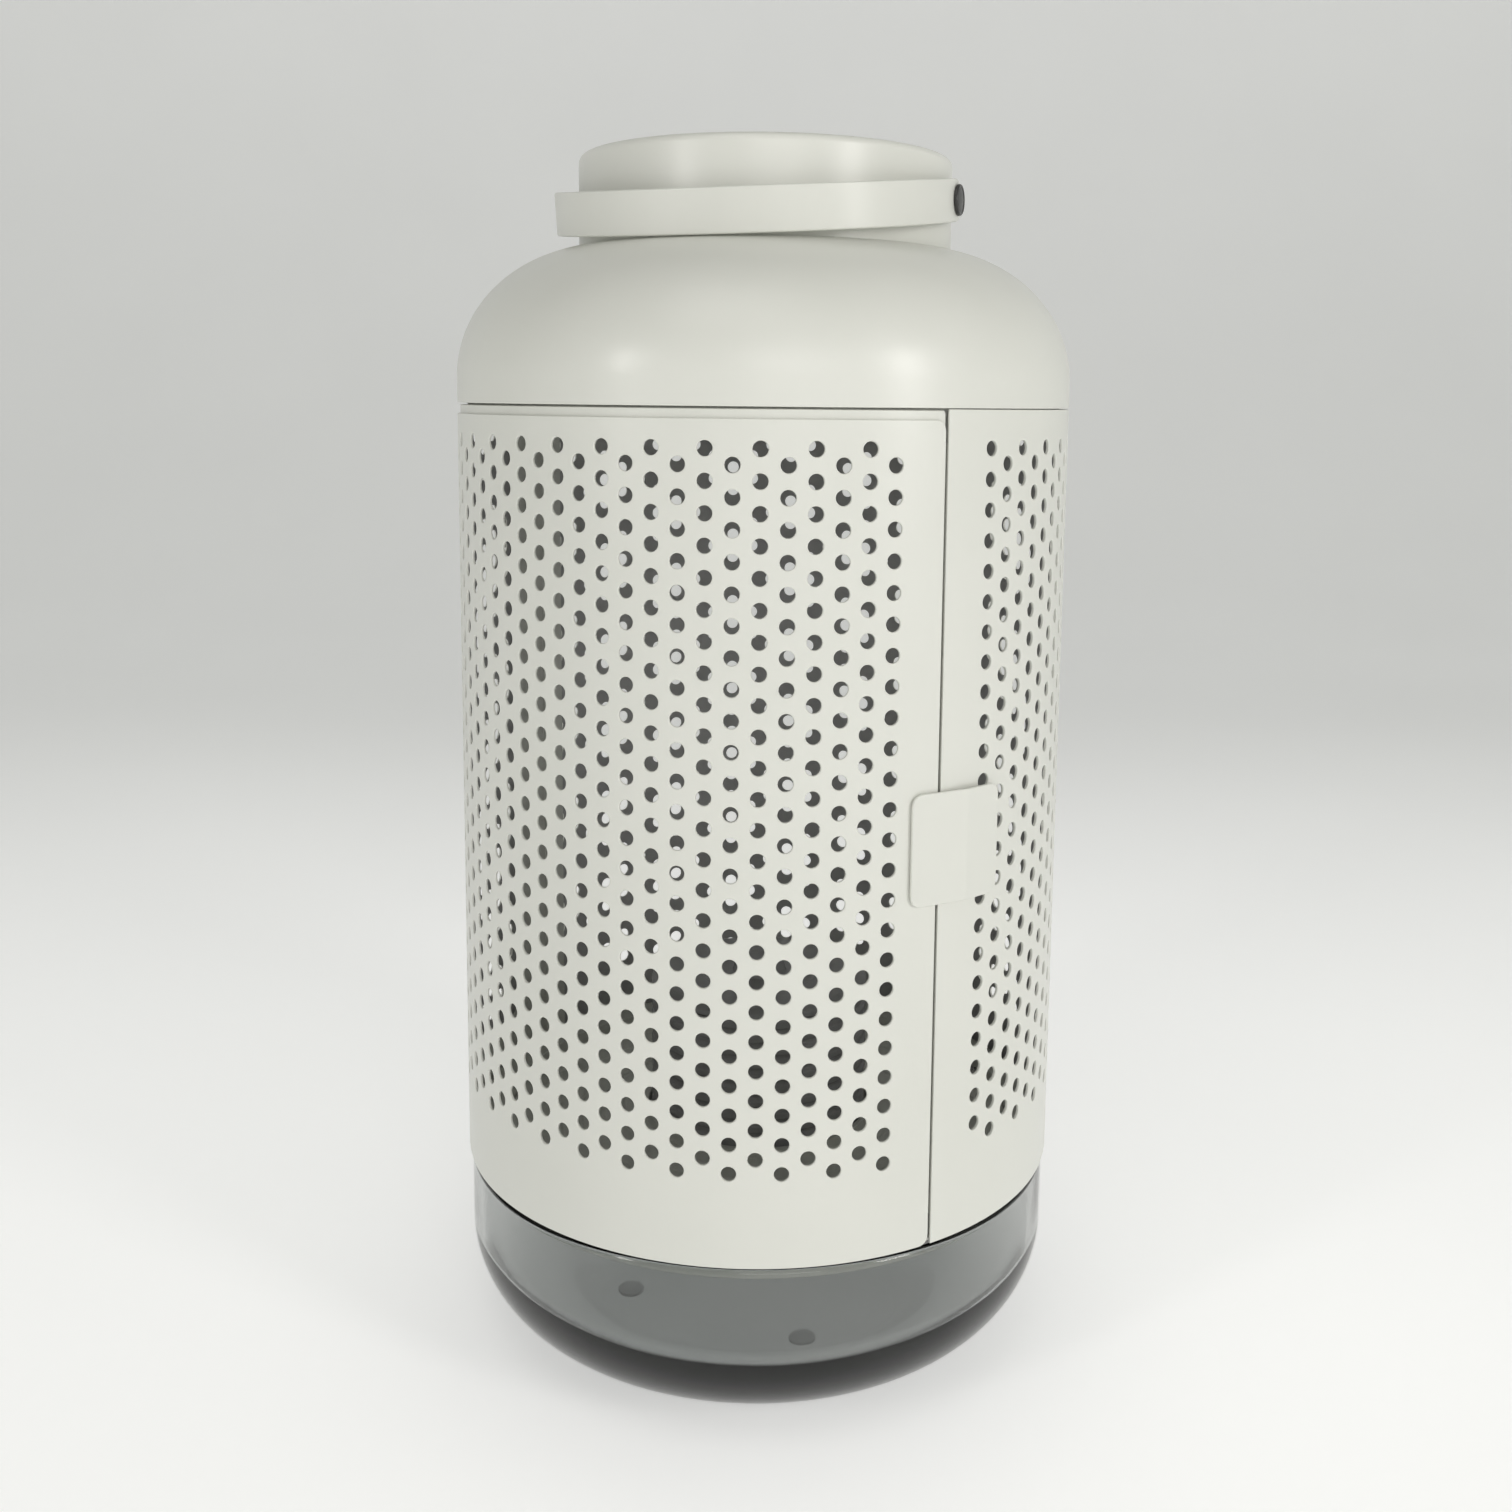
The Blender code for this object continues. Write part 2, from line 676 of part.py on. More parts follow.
def neck_ring(shade):
    """Neck tube standing on the fan deck: it ducts the air, holds the grille and carries the pivots."""
    round_centre = (NECK_RADIUS - NECK_RIM_ROUND, TOTAL_HEIGHT - NECK_RIM_ROUND)
    flange_low, flange_high = NECK_FLANGE_HEIGHTS
    ledge_high = GRILLE_HEIGHTS[0] - GAP
    ledge_low = ledge_high - 0.0020
    profile = [(NECK_INNER, TOTAL_HEIGHT)]
    profile += arc_points(round_centre, (NECK_RIM_ROUND, NECK_RIM_ROUND), 90.0, 0.0, 2)
    profile += [
        (NECK_RADIUS, flange_high),
        (NECK_FLANGE_RADIUS, flange_high),
        (NECK_FLANGE_RADIUS, flange_low),
        (NECK_RADIUS, flange_low),
        (NECK_RADIUS, NECK_BOTTOM),
        (NECK_INNER, NECK_BOTTOM),
        (NECK_INNER, ledge_low),
        (NECK_INNER - NECK_LEDGE, ledge_low),
        (NECK_INNER - NECK_LEDGE, ledge_high),
        (NECK_INNER, ledge_high),
    ]
    neck = turned("neck_ring", profile, shade)
    for bearing in (PIVOT_BEARING, PIVOT_BEARING + 180.0):
        cut(neck, pivot_rod("pivot_hole", bearing, PIN_HOLE, NECK_INNER - 0.005, NECK_RADIUS + 0.005))


def grille_slots():
    """Rings of radial slots that widen outwards, as closed outlines."""
    outlines = []
    for inner, outer, count in SLOT_RINGS:
        half_inner = math.degrees(SLOT_ENDS[0] / 2.0 / inner)
        half_outer = math.degrees(SLOT_ENDS[1] / 2.0 / outer)
        for bearing in around(count):
            steps = [
                (bearing - half_inner, inner),
                (bearing - half_outer, outer),
                (bearing + half_outer, outer),
                (bearing + half_inner, inner),
            ]
            outlines.append(sector_outline(steps))
    return outlines


def outlet_grille(shade):
    low, high = GRILLE_HEIGHTS
    rim = [at_bearing(bearing, GRILLE_RADIUS)[:2] for bearing in around(FACETS)]
    centre = [at_bearing(bearing, LIGHT_RING_OUTER + 0.0004)[:2] for bearing in around(24)]
    flat_outline("outlet_grille", [rim, centre] + grille_slots(), low, high, shade)


def button_group(button_shade, light_shade, dark, button_parent):
    """Crowned push button in a light ring, with its switch on the post below."""
    low, high = GRILLE_HEIGHTS
    tube_ring("status_ring", BUTTON_RADIUS + 0.0004, LIGHT_RING_OUTER, low, high + 0.0006, light_shade, 24)
    skirt_low, stem_low, stem_radius = low + 0.0008, low - 0.0005, 0.0020
    profile = [
        (0.0, BUTTON_TOP),
        (BUTTON_RADIUS * 0.6, BUTTON_TOP - 0.0002),
        (BUTTON_RADIUS - 0.0006, BUTTON_TOP - 0.0008),
        (BUTTON_RADIUS, BUTTON_TOP - 0.0016),
        (BUTTON_RADIUS, skirt_low),
        (stem_radius, skirt_low),
        (stem_radius, stem_low),
        (0.0, stem_low),
    ]
    turned_to_axis("power_button", profile, button_shade, 24, button_parent)
    switch = (0.0060, 0.0060, 0.0034)
    box("button_switch", switch, (0.0, 0.0, HOUSING_POST_TOP + GAP + switch[2] / 2.0), dark)


# ---------------------------------------------------------------- fan
def deck_screw_places():
    return [at_bearing(bearing, DECK_SCREW_CIRCLE) for bearing in around(3, 60.0)]


def fan_deck(shade):
    """Partition between the filter chamber and the fan, with a skirt round the cartridge."""
    low, high = DECK_HEIGHTS
    foot = HEAD_RING_HEIGHTS[1] + GAP
    flange_top = foot + DECK_FLANGE
    profile = [
        (DECK_SKIRT_OUTER, high),
        (DECK_SKIRT_OUTER, flange_top),
        (DECK_FLANGE_OUTER, flange_top),
        (DECK_FLANGE_OUTER, foot),
        (DECK_SKIRT_INNER, foot),
        (DECK_SKIRT_INNER, low),
        (FAN_INLET_RADIUS, low),
        (FAN_INLET_RADIUS, high),
    ]
    deck = turned("fan_deck", profile, shade)
    drill(deck, deck_screw_places(), foot - 0.002, flange_top + 0.002)


def deck_screws(shade):
    seat = HEAD_RING_HEIGHTS[1] + GAP + DECK_FLANGE
    for number, place in enumerate(deck_screw_places(), start=1):
        pan_head_screw(f"deck_screw_{number}", place, seat, 0.0100, 0.0026, shade)


def fan_housing(shade):
    """Shroud ring on the deck, with four struts to a hub that holds the motor from above."""
    low = DECK_HEIGHTS[1] + GAP
    foot_top = low + 0.0018
    inner, outer = HOUSING_RADII
    profile = [
        (outer, HOUSING_TOP),
        (outer, foot_top),
        (HOUSING_FOOT, foot_top),
        (HOUSING_FOOT, low),
        (inner, low),
        (inner, HOUSING_TOP),
    ]
    housing = turned("fan_housing", profile, shade)
    join(housing, housing_hub())


def housing_hub():
    """Hub plate over the motor, the post for the button's switch and the four struts."""
    low, post_radius = MOTOR_HEIGHTS[1] + GAP, 0.0050
    profile = [
        (0.0, HOUSING_POST_TOP),
        (post_radius, HOUSING_POST_TOP),
        (post_radius, HOUSING_TOP),
        (HUB_RADIUS, HOUSING_TOP),
        (HUB_RADIUS, low),
        (0.0, low),
    ]
    hub = turned_to_axis("housing_hub", profile, facets=24)
    start, end = HUB_RADIUS - 0.0020, HOUSING_RADII[0] + 0.0008
    size = (0.0032, end - start, HOUSING_TOP - low - 2.0 * GAP)
    for bearing in around(4, 30.0):
        middle = at_bearing(bearing, (start + end) / 2.0, (low + HOUSING_TOP) / 2.0)
        join(hub, box("strut", size, middle, bearing=bearing))
    return hub


def impeller_blades():
    """Twisted blades in one mesh: each starts as a grid in (radius, chord)."""
    mesh = bpy.data.meshes.new("blades")
    shape = bmesh.new()
    low, high = IMPELLER_HEIGHTS
    root = HUB_RADIUS - 0.0012
    for first in around(BLADES):
        made = bmesh.ops.create_grid(shape, x_segments=3, y_segments=2, size=0.5)
        for vert in made["verts"]:
            along, chord = vert.co.x + 0.5, vert.co.y
            radius = root + (IMPELLER_RADIUS - root) * along
            sweep = 34.0 - 8.0 * along
            rise = (high - low - 0.0040) * (1.0 - 0.35 * along)
            bearing = first + sweep * chord + 10.0 * along
            vert.co = at_bearing(bearing, radius, (low + high) / 2.0 + rise * chord)
    shape.to_mesh(mesh)
    shape.free()
    blades = add_object("blades", mesh)
    solidify = blades.modifiers.new("thickness", "SOLIDIFY")
    solidify.thickness = BLADE_THICKNESS
    solidify.offset = 0.0
    return blades


def impeller(shade, steel, parent):
    """Mixed-flow impeller: cup hub round the motor, twisted blades, and the motor's shaft."""
    low, high = IMPELLER_HEIGHTS
    chamfer, floor = 0.0030, low + 0.0022
    profile = [
        (HUB_RADIUS, high),
        (HUB_RADIUS, low + chamfer),
        (HUB_RADIUS - chamfer, low),
        (SHAFT_BORE, low),
        (SHAFT_BORE, floor),
        (HUB_RADIUS - 0.0020, floor),
        (HUB_RADIUS - 0.0020, high),
    ]
    hub = turned("impeller", profile, shade, facets=32, parent=parent)
    join(hub, impeller_blades())
    shaft_low = low - 0.0015
    profile = [(0.0, SHAFT_TOP), (SHAFT_RADIUS, SHAFT_TOP), (SHAFT_RADIUS, shaft_low), (0.0, shaft_low)]
    turned_to_axis("motor_shaft", profile, steel, SMALL_FACETS, parent)


def fan_motor(shade):
    low, high = MOTOR_HEIGHTS
    chamfer = 0.0015
    profile = [
        (0.0, high),
        (MOTOR_RADIUS, high),
        (MOTOR_RADIUS, low + chamfer),
        (MOTOR_RADIUS - chamfer, low),
        (SHAFT_BORE, low),
        (SHAFT_BORE, MOTOR_BORE_TOP),
        (0.0, MOTOR_BORE_TOP),
    ]
    turned_to_axis("fan_motor", profile, shade, 24)


# ---------------------------------------------------------------- electrics
def control_board(shade):
    base = DECK_HEIGHTS[1] + 0.0010
    board = box("control_board", (0.044, 0.021, 0.0016), (0.0, 0.0802, base + 0.0008), shade)
    for name, size, place in (
        ("board_relay", (0.010, 0.008, 0.0050), (-0.013, 0.0785, base + 0.0036)),
        ("board_chip", (0.007, 0.007, 0.0016), (0.001, 0.0785, base + 0.0020)),
        ("board_socket", (0.008, 0.005, 0.0040), (0.015, 0.0820, base + 0.0030)),
    ):
        join(board, box(name, size, place))


def power_inlet(shade):
    """Barrel socket through the back of the shoulder, with its centre pin."""
    mouth, floor, step, back = 0.1118, 0.1040, 0.1078, 0.1002
    pin, bore, nose, body = 0.0008, 0.0026, 0.0038, 0.0046
    profile = [
        (0.0, mouth),
        (pin, mouth),
        (pin, floor),
        (bore, floor),
        (bore, mouth),
        (nose, mouth),
        (nose, step),
        (body, step),
        (body, back),
        (0.0, back),
    ]
    inlet = turned_to_axis("power_inlet", profile, shade, 20)
    turn = Matrix.Rotation(math.radians(-90.0), 4, "X")
    inlet.matrix_world = Matrix.Translation((0.0, 0.0, INLET_HEIGHT)) @ turn


def power_lead(shade):
    """Short lead from the inlet up past the deck's edge to the board's socket."""
    route = [
        Vector((0.0, 0.1035, 0.3720)),
        Vector((0.0, 0.1020, 0.3765)),
        Vector((0.0, 0.0993, 0.3820)),
        Vector((0.0, 0.0976, 0.3862)),
        Vector((0.0012, 0.0966, 0.3882)),
        Vector((0.0042, 0.0947, 0.3893)),
        Vector((0.0090, 0.0924, 0.3905)),
        Vector((0.0135, 0.0900, 0.3909)),
        Vector((0.0150, 0.0873, 0.3908)),
        Vector((0.0150, 0.0849, 0.3908)),
    ]
    wire("power_lead", route, 0.0012, shade)


# ---------------------------------------------------------------- filter cartridge
def filter_cartridge(plastic, paper, carbon, foam, strap, parent):
    """Round cartridge under the deck: ring with a cross bar, media, carbon mat, seal and pull."""
    low, high = FILTER_HEIGHTS
    lip, lip_top = FILTER_RADIUS - 0.0060, low + 0.0020
    frame_profile = [
        (FILTER_RADIUS, high),
        (FILTER_RADIUS, low),
        (lip, low),
        (lip, lip_top),
        (FILTER_RADIUS - FILTER_WALL, lip_top),
        (FILTER_RADIUS - FILTER_WALL, high),
    ]
    frame = turned("filter_frame", frame_profile, plastic, parent=parent)
    bar = (0.0080, 2.0 * (lip + 0.0010), 0.0018)
    join(frame, box("frame_bar", bar, (0.0, 0.0, low + 0.0010)))
    radius = FILTER_RADIUS - FILTER_WALL - 0.0005
    media_low, media_high = lip_top + 0.0004, high - 0.0040
    disc("filter_media", radius, media_low, media_high, paper, parent=parent)
    disc("carbon_mat", radius, media_high + GAP, high - GAP, carbon, parent=parent)
    tube_ring("filter_seal", *FILTER_SEAL_RADII, high + GAP, DECK_HEIGHTS[0] - GAP, foam, parent=parent)
    filter_pull(strap, parent)


def filter_pull(shade, parent):
    """Hanging loop under the cross bar, drawn in the XZ plane."""
    top = FILTER_HEIGHTS[0] - 0.0007
    outer = arc_points((0.0, top), (0.0180, 0.0100), 180.0, 360.0, 10)
    inner = arc_points((0.0, top), (0.0160, 0.0080), 360.0, 180.0, 10)
    pull = flat_outline("filter_pull", [outer + inner], -0.0040, 0.0040, shade, parent)
    pull.matrix_world = Matrix.Rotation(math.radians(90.0), 4, "X")


# ---------------------------------------------------------------- canister
def canister(shade, carbon, parent):
    """Ribbed cup with a lid, standing in the base plate's raised ring."""
    low, high = CANISTER_HEIGHTS
    inside, floor = CANISTER_RADIUS - CANISTER_WALL - CANISTER_GROOVE, low + CANISTER_WALL
    profile = [(0.0, floor), (inside, floor), (inside, high), (CANISTER_RADIUS, high)]
    for index in range(2):
        top = high - 0.0030 - index * CANISTER_GROOVE_PITCH
        profile += [(CANISTER_RADIUS, top), (CANISTER_RADIUS - CANISTER_GROOVE, top - 0.0008)]
        profile += [(CANISTER_RADIUS - CANISTER_GROOVE, top - 0.0020), (CANISTER_RADIUS, top - 0.0028)]
    profile += [(CANISTER_RADIUS, low), (0.0, low)]
    turned_to_axis("canister_body", profile, shade, 24, parent)
    knob_top, lid_top, lid_low = high + 0.0100, high + 0.0045, high + GAP
    lid = [
        (0.0, knob_top),
        (0.0090, knob_top),
        (0.0105, lid_top),
        (CANISTER_RADIUS - 0.0030, lid_top),
        (CANISTER_RADIUS, lid_top - 0.0020),
        (CANISTER_RADIUS, lid_low),
        (0.0, lid_low),
    ]
    turned_to_axis("canister_lid", lid, shade, 24, parent)
    disc("carbon_fill", inside - 0.0004, floor + GAP, high - 0.0030, carbon, 24, parent)


# ---------------------------------------------------------------- bail handle
def bail_outline(along):
    """Middle of the strap seen square on: along runs 0..180 degrees from pivot to pivot."""
    angle = math.radians(along)
    side = BAIL_SIDE - BAIL_THICKNESS / 2.0
    reach = BAIL_REACH - BAIL_THICKNESS / 2.0
    power = 2.0 / BAIL_POWER
    across = side * math.copysign(abs(math.cos(angle)) ** power, math.cos(angle))
    return across, -reach * math.sin(angle) ** power


def bail_stations():
    """Stations along the strap as (across, forward, half width), with a round end at each pivot."""
    half = BAIL_WIDTH / 2.0
    side = BAIL_SIDE - BAIL_THICKNESS / 2.0
    ends = []
    for angle in (80.0, 62.0, 42.0, 20.0, 0.0):
        behind = half * math.sin(math.radians(angle))
        ends.append((side, behind, half * math.cos(math.radians(angle))))
    middle = [(*bail_outline(along), half) for along in range(6, 175, 7)]
    return ends + middle + [(-across, forward, width) for across, forward, width in reversed(ends)]


def bail_handle(shade, parent):
    """Flat strap handle: a swept strip with Solidify, pivot holes through both ends."""
    stations = bail_stations()
    mesh = bpy.data.meshes.new("bail_handle")
    shape = bmesh.new()
    bmesh.ops.create_grid(shape, x_segments=len(stations) - 1, y_segments=1, size=0.5)
    for vert in shape.verts:
        station = stations[round((vert.co.x + 0.5) * (len(stations) - 1))]
        vert.co = (station[0], station[1], station[2] * (1.0 if vert.co.y > 0.0 else -1.0))
    bmesh.ops.recalc_face_normals(shape, faces=shape.faces)
    shape.to_mesh(mesh)
    shape.free()
    bail = add_object("bail_handle", mesh, shade, parent)
    solidify = bail.modifiers.new("thickness", "SOLIDIFY")
    solidify.thickness = BAIL_THICKNESS
    solidify.offset = 0.0
    for side in (-1.0, 1.0):
        start = Vector((side * (BAIL_SIDE - 0.01), 0.0, 0.0))
        end = Vector((side * (BAIL_SIDE + 0.01), 0.0, 0.0))
        hole = rod("bail_hole", PIN_HOLE, start, end)
        hole.matrix_world = bail_placement() @ hole.matrix_world
        cut(bail, hole)
    bail.matrix_world = bail_placement()


def bail_placement():
    """The strap's own +X lies on the pivot axis, and its front tips down onto the shoulder."""
    place = Matrix.Translation((0.0, 0.0, PIVOT_HEIGHT))
    turn = Matrix.Rotation(math.radians(PIVOT_BEARING - 90.0), 4, "Z")
    return place @ turn @ Matrix.Rotation(math.radians(BAIL_TILT), 4, "X")


def pivot_rod(name, bearing, radius, near, far, shade=None, facets=SMALL_FACETS):
    """A cylinder on the pivot axis between two distances from the body's axis."""
    start = at_bearing(bearing, near, PIVOT_HEIGHT)
    end = at_bearing(bearing, far, PIVOT_HEIGHT)
    return rod(name, radius, start, end, shade, facets)


def pivots(steel, black, bush_shade):
    """At each side: pin through the neck wall, bush between neck and strap, cap over the strap."""
    for number, bearing in enumerate((PIVOT_BEARING, PIVOT_BEARING + 180.0), start=1):
        inner, outer = NECK_RADIUS + GAP, NECK_RADIUS + 0.0013
        pivot_rod(f"pivot_pin_{number}", bearing, PIN_RADIUS, NECK_INNER - 0.0022, BAIL_SIDE - GAP, steel)
        bush = pivot_rod(f"pivot_bush_{number}", bearing, BUSH_RADIUS, inner, outer, bush_shade)
        cut(bush, pivot_rod("bush_hole", bearing, PIN_HOLE, inner - 0.002, outer + 0.002))
        cap_inner, cap_outer = BAIL_SIDE + GAP, BAIL_SIDE + 0.0015
        pivot_rod(f"pivot_cap_{number}", bearing, CAP_RADIUS, cap_inner, cap_outer, black, 24)


# ---------------------------------------------------------------- build
def build():
    paint = material("warm white paint", WARM_WHITE, 0.45)
    clear = material("smoked clear", SMOKED_GREY, 0.05, transmission=0.9)
    black = material("black plastic", NEAR_BLACK, 0.35)
    dark = material("dark plastic", DARK_GREY, 0.5)
    steel = material("steel", STEEL, 0.3, metallic=1.0)
    grey = material("grey plastic", MID_GREY, 0.2)
    rubber = material("rubber", FOAM_GREY, 0.8)
    bumper = material("milky bumper", BUMPER_WHITE, 0.45)
    paper = material("filter paper", PAPER_WHITE, 0.9)
    carbon = material("carbon", CARBON_BLACK, 0.95)
    green = material("circuit board", BOARD_GREEN, 0.5)
    milky = material("light ring", MILKY, 0.3, transmission=0.5)

    door_parent = joint_empty("door_axis", at_bearing(HINGE_BEARING, HINGE_RADIUS))
    fan_parent = joint_empty("fan_axis", Vector((0.0, 0.0, IMPELLER_HEIGHTS[0])))
    button_parent = joint_empty("button_axis", Vector((0.0, 0.0, BUTTON_TOP)))
    handle_parent = joint_empty("handle_axis", Vector((0.0, 0.0, PIVOT_HEIGHT)))
    filter_parent = joint_empty("filter_axis", Vector((0.0, 0.0, FILTER_HEIGHTS[0])))
    canister_parent = joint_empty("canister_axis", Vector((0.0, 0.0, CANISTER_HEIGHTS[0])))

    base_bowl(clear)
    foot_pads(bumper)
    bowl_seal(rubber)
    base_ring(paint)
    base_plate(paint)
    base_screws(steel)
    side_panel(paint)
    jamb_posts(paint)
    head_ring(paint)
    door(paint, steel, rubber, door_parent)
    catch_magnet(dark)
    for place, height in HINGE_HEIGHTS.items():
        hinge(place, height, paint, steel, door_parent)
    shoulder_cover(paint)
    neck_ring(paint)
    outlet_grille(paint)
    button_group(paint, milky, dark, button_parent)
    fan_deck(dark)
    deck_screws(steel)
    fan_housing(dark)
    impeller(dark, steel, fan_parent)
    fan_motor(steel)
    control_board(green)
    power_inlet(black)
    power_lead(black)
    filter_cartridge(dark, paper, carbon, rubber, black, filter_parent)
    canister(grey, carbon, canister_parent)
    bail_handle(paint, handle_parent)
    pivots(steel, black, rubber)
    for item in PART.objects:
        if item.type == "MESH":
            item.data.shade_smooth()
            item.data.set_sharp_from_angle(angle=math.radians(35.0))


clear_scene()
PART = make_collection("Air purifier")
CUTTERS = make_collection("Cutters")
build()
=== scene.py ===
"""The looks of the lantern-style air purifier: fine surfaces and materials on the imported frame.

Units are metres and +Z is up. Bearings go round the body in degrees: 0 is the front (-Y), +90 is +X.
"""
import bisect
import json
import math

import bmesh
import bpy
from mathutils import Matrix, Vector
from mathutils.geometry import delaunay_2d_cdt
from mathutils.kdtree import KDTree


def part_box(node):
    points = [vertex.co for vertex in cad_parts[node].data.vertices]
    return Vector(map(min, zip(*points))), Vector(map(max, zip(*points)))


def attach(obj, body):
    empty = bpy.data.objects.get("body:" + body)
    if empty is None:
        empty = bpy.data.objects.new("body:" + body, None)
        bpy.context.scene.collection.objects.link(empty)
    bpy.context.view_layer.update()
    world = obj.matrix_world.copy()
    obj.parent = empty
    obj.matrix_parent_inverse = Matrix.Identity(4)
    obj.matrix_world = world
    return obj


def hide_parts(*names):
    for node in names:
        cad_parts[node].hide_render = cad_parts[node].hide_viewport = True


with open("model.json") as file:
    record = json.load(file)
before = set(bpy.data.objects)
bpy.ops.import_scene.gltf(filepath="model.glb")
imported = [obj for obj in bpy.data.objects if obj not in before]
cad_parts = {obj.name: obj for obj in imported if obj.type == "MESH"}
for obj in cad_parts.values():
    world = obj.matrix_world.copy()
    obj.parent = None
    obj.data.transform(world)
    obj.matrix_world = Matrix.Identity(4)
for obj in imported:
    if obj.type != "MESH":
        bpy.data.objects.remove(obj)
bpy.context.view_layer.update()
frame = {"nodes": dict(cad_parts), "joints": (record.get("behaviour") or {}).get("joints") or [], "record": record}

RECORD = frame["record"]
NODE_SLOT = {part["node"]: part["material_slot"] for part in RECORD["subparts"]}
NODE_BODY = {node: body for body, nodes in RECORD["behaviour"]["bodies"].items() for node in nodes}
UP = Vector((0.0, 0.0, 1.0))


def heights(node):
    low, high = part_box(node)
    return low.z, high.z


def radius_of(node):
    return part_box(node)[1].x


def joint_place(name):
    return Vector(next(joint for joint in frame["joints"] if joint["name"] == name)["pos_m"])


# ---- sizes read from the frame
BODY_RADIUS = radius_of("side_panel")
CAGE_HEIGHTS = heights("side_panel")
BOWL_BOTTOM, BOWL_RIM = heights("base_bowl")
PAD_TOP = heights("foot_pad_1")[1]
PLATE_BOTTOM, PLATE_RIB_TOP = heights("base_plate")
GRILLE_HEIGHTS = heights("outlet_grille")
FILTER_RADIUS = radius_of("filter_frame")
CANISTER_RADIUS = radius_of("canister_body")
MOTOR_HEIGHTS = heights("fan_motor")
HINGE_AXIS = joint_place("door_hinge")
PIVOT_HEIGHT = joint_place("handle_pivot").z

# the inside faces of the sheets wear a darker grey that is painted shade for the dim inside of the cage
SHEET_SHADES = ("paint", "painted_shade")  # the outside and the inside of the perforated sheets

# ---- sizes of the finish
GAP = 0.0003
SOFT = 0.0003  # rounding of edges
SMOOTH = 128  # segments of a full turn
SPACING = 0.0045
DOOR_BEARINGS = (-119.1, 30.85)
PANEL_BEARINGS = (31.40, 240.1)
SKIN_THICKNESS = 0.0008
PANEL_THICKNESS = 0.0010
PITCH = 0.0100
COLUMN_STEP = 4.4177
HOLE_RADIUS = 0.0025
RIM_ROUND = 0.0004
HOLE_SIDES = 18
ROWS = 24
TOP_ROW = 0.3376
DOOR_COLUMNS = (-110.9025, 31, True)
PANEL_COLUMNS = (41.14, 44, False)
WINDOW_BEARINGS = (-113.4, 24.0)
WINDOW_HEIGHTS = (0.0950, 0.3410)
FRAME_MARGINS = (0.5, 0.2)
STOP_RADIUS = 0.1088
PAD_FIRST_BEARING = 19.0
PAD_CIRCLE = 0.0520
PAD_RADIUS = 0.0050
NECK_RADIUS = 0.0682
NECK_INNER = 0.0652
PIVOT_BEARING = 69.5
BAIL_SIDE = 0.0723
BAIL_REACH = 0.0765
BAIL_POWER = 2.4
BAIL_WIDTH = 0.0150
BAIL_THICKNESS = 0.0026
BAIL_TILT = 7.7
PIN_HOLE = 0.0029
HINGE_BEARING = -119.5
HINGE_MIDDLES = {"upper": 0.3100, "lower": 0.1100}
KNUCKLE_LENGTH = 0.0120
KNUCKLE_RADIUS = 0.0022
LEAF_OUTER = BODY_RADIUS + 0.0014
LEAF_SPAN = 8.5
LEAF_EDGE = 0.4
LEAF_NOTCH = 1.45
LEAF_SPACING = 0.0030
TAB_THICKNESS = 0.0012
TAB_TANGENT = 28.5
TAB_BEND = 13.0
TAB_FOLD = 36.5
TAB_SIDES = (-0.0221, 0.0147)
TAB_SPACING = 0.0011
SMOKE_DENSITY = 60.0
TOOTH = 0.00001  # height of the finest bumps
SHAFT_HOLE = 0.00162
INLET_HEIGHT = 0.3670
INLET_SEAT = 0.1118

# ---- the stage: a glow is an emission strength, near and far, and a softbox's power is in watts
FLOOR_LEVEL = -0.00005
FLOOR_SIDE = 6.0
FLOOR_START = 1.6
FLOOR_BEND = 1.2
FLOOR_TOP = 4.0
FLOOR_GLOW = (0.41, 0.20)
FLOOR_FADE = (0.1, 1.3)
ROOM_LIGHT = (0.10, 0.40)
ROOM_BRIGHT_BEARING = 55.0
LIGHT_TARGET = (0.0, 0.0, 0.33)
SOFTBOXES = {  # bearing, elevation, distance, (width, height), power
    "left_softbox": (-48.0, 12.0, 1.6, (0.19, 0.46), 3.0),
    "right_softbox": (50.0, 12.0, 1.6, (0.31, 0.60), 5.8),
    "front_softbox": (8.0, 14.0, 1.8, (0.9, 0.6), 4.2),
    "top_softbox": (-20.0, 60.0, 1.4, (0.8, 0.8), 2.2),
}
CAMERA_PLACE = (0.0, -0.6004, 0.3525)
CAMERA_TURNS = ((-0.905, "Z"), (82.386, "X"), (0.590, "Z"))
CAMERA_LENS, CAMERA_SENSOR = 37.84, 36.0
CAMERA_SHIFT = (-0.0206, -0.0950)


# ---- placing
def at_bearing(bearing, radius, height=0.0):
    angle = math.radians(bearing)
    return Vector((radius * math.sin(angle), -radius * math.cos(angle), height))


def around(count, first=0.0):
    return [first + 360.0 * index / count for index in range(count)]


def arc_points(centre, radii, start, end, count):
    """Points on an ellipse arc, start and end in degrees."""
    points = []
    for index in range(count + 1):
        angle = math.radians(start + (end - start) * index / count)
        points.append((centre[0] + radii[0] * math.cos(angle), centre[1] + radii[1] * math.sin(angle)))
    return points


def turned(degrees, axis="Z"):
    return Matrix.Rotation(math.radians(degrees), 4, axis)


def outwards(bearing, radius, height):
    """A placement whose +Z points away from the body's axis, for pins, caps and sockets."""
    turn = at_bearing(bearing, 1.0).to_track_quat("Z", "Y").to_matrix().to_4x4()
    return Matrix.Translation(at_bearing(bearing, radius, height)) @ turn


# ---- pieces
def linked(name, data):
    item = bpy.data.objects.new(name, data)
    bpy.context.scene.collection.objects.link(item)
    return item


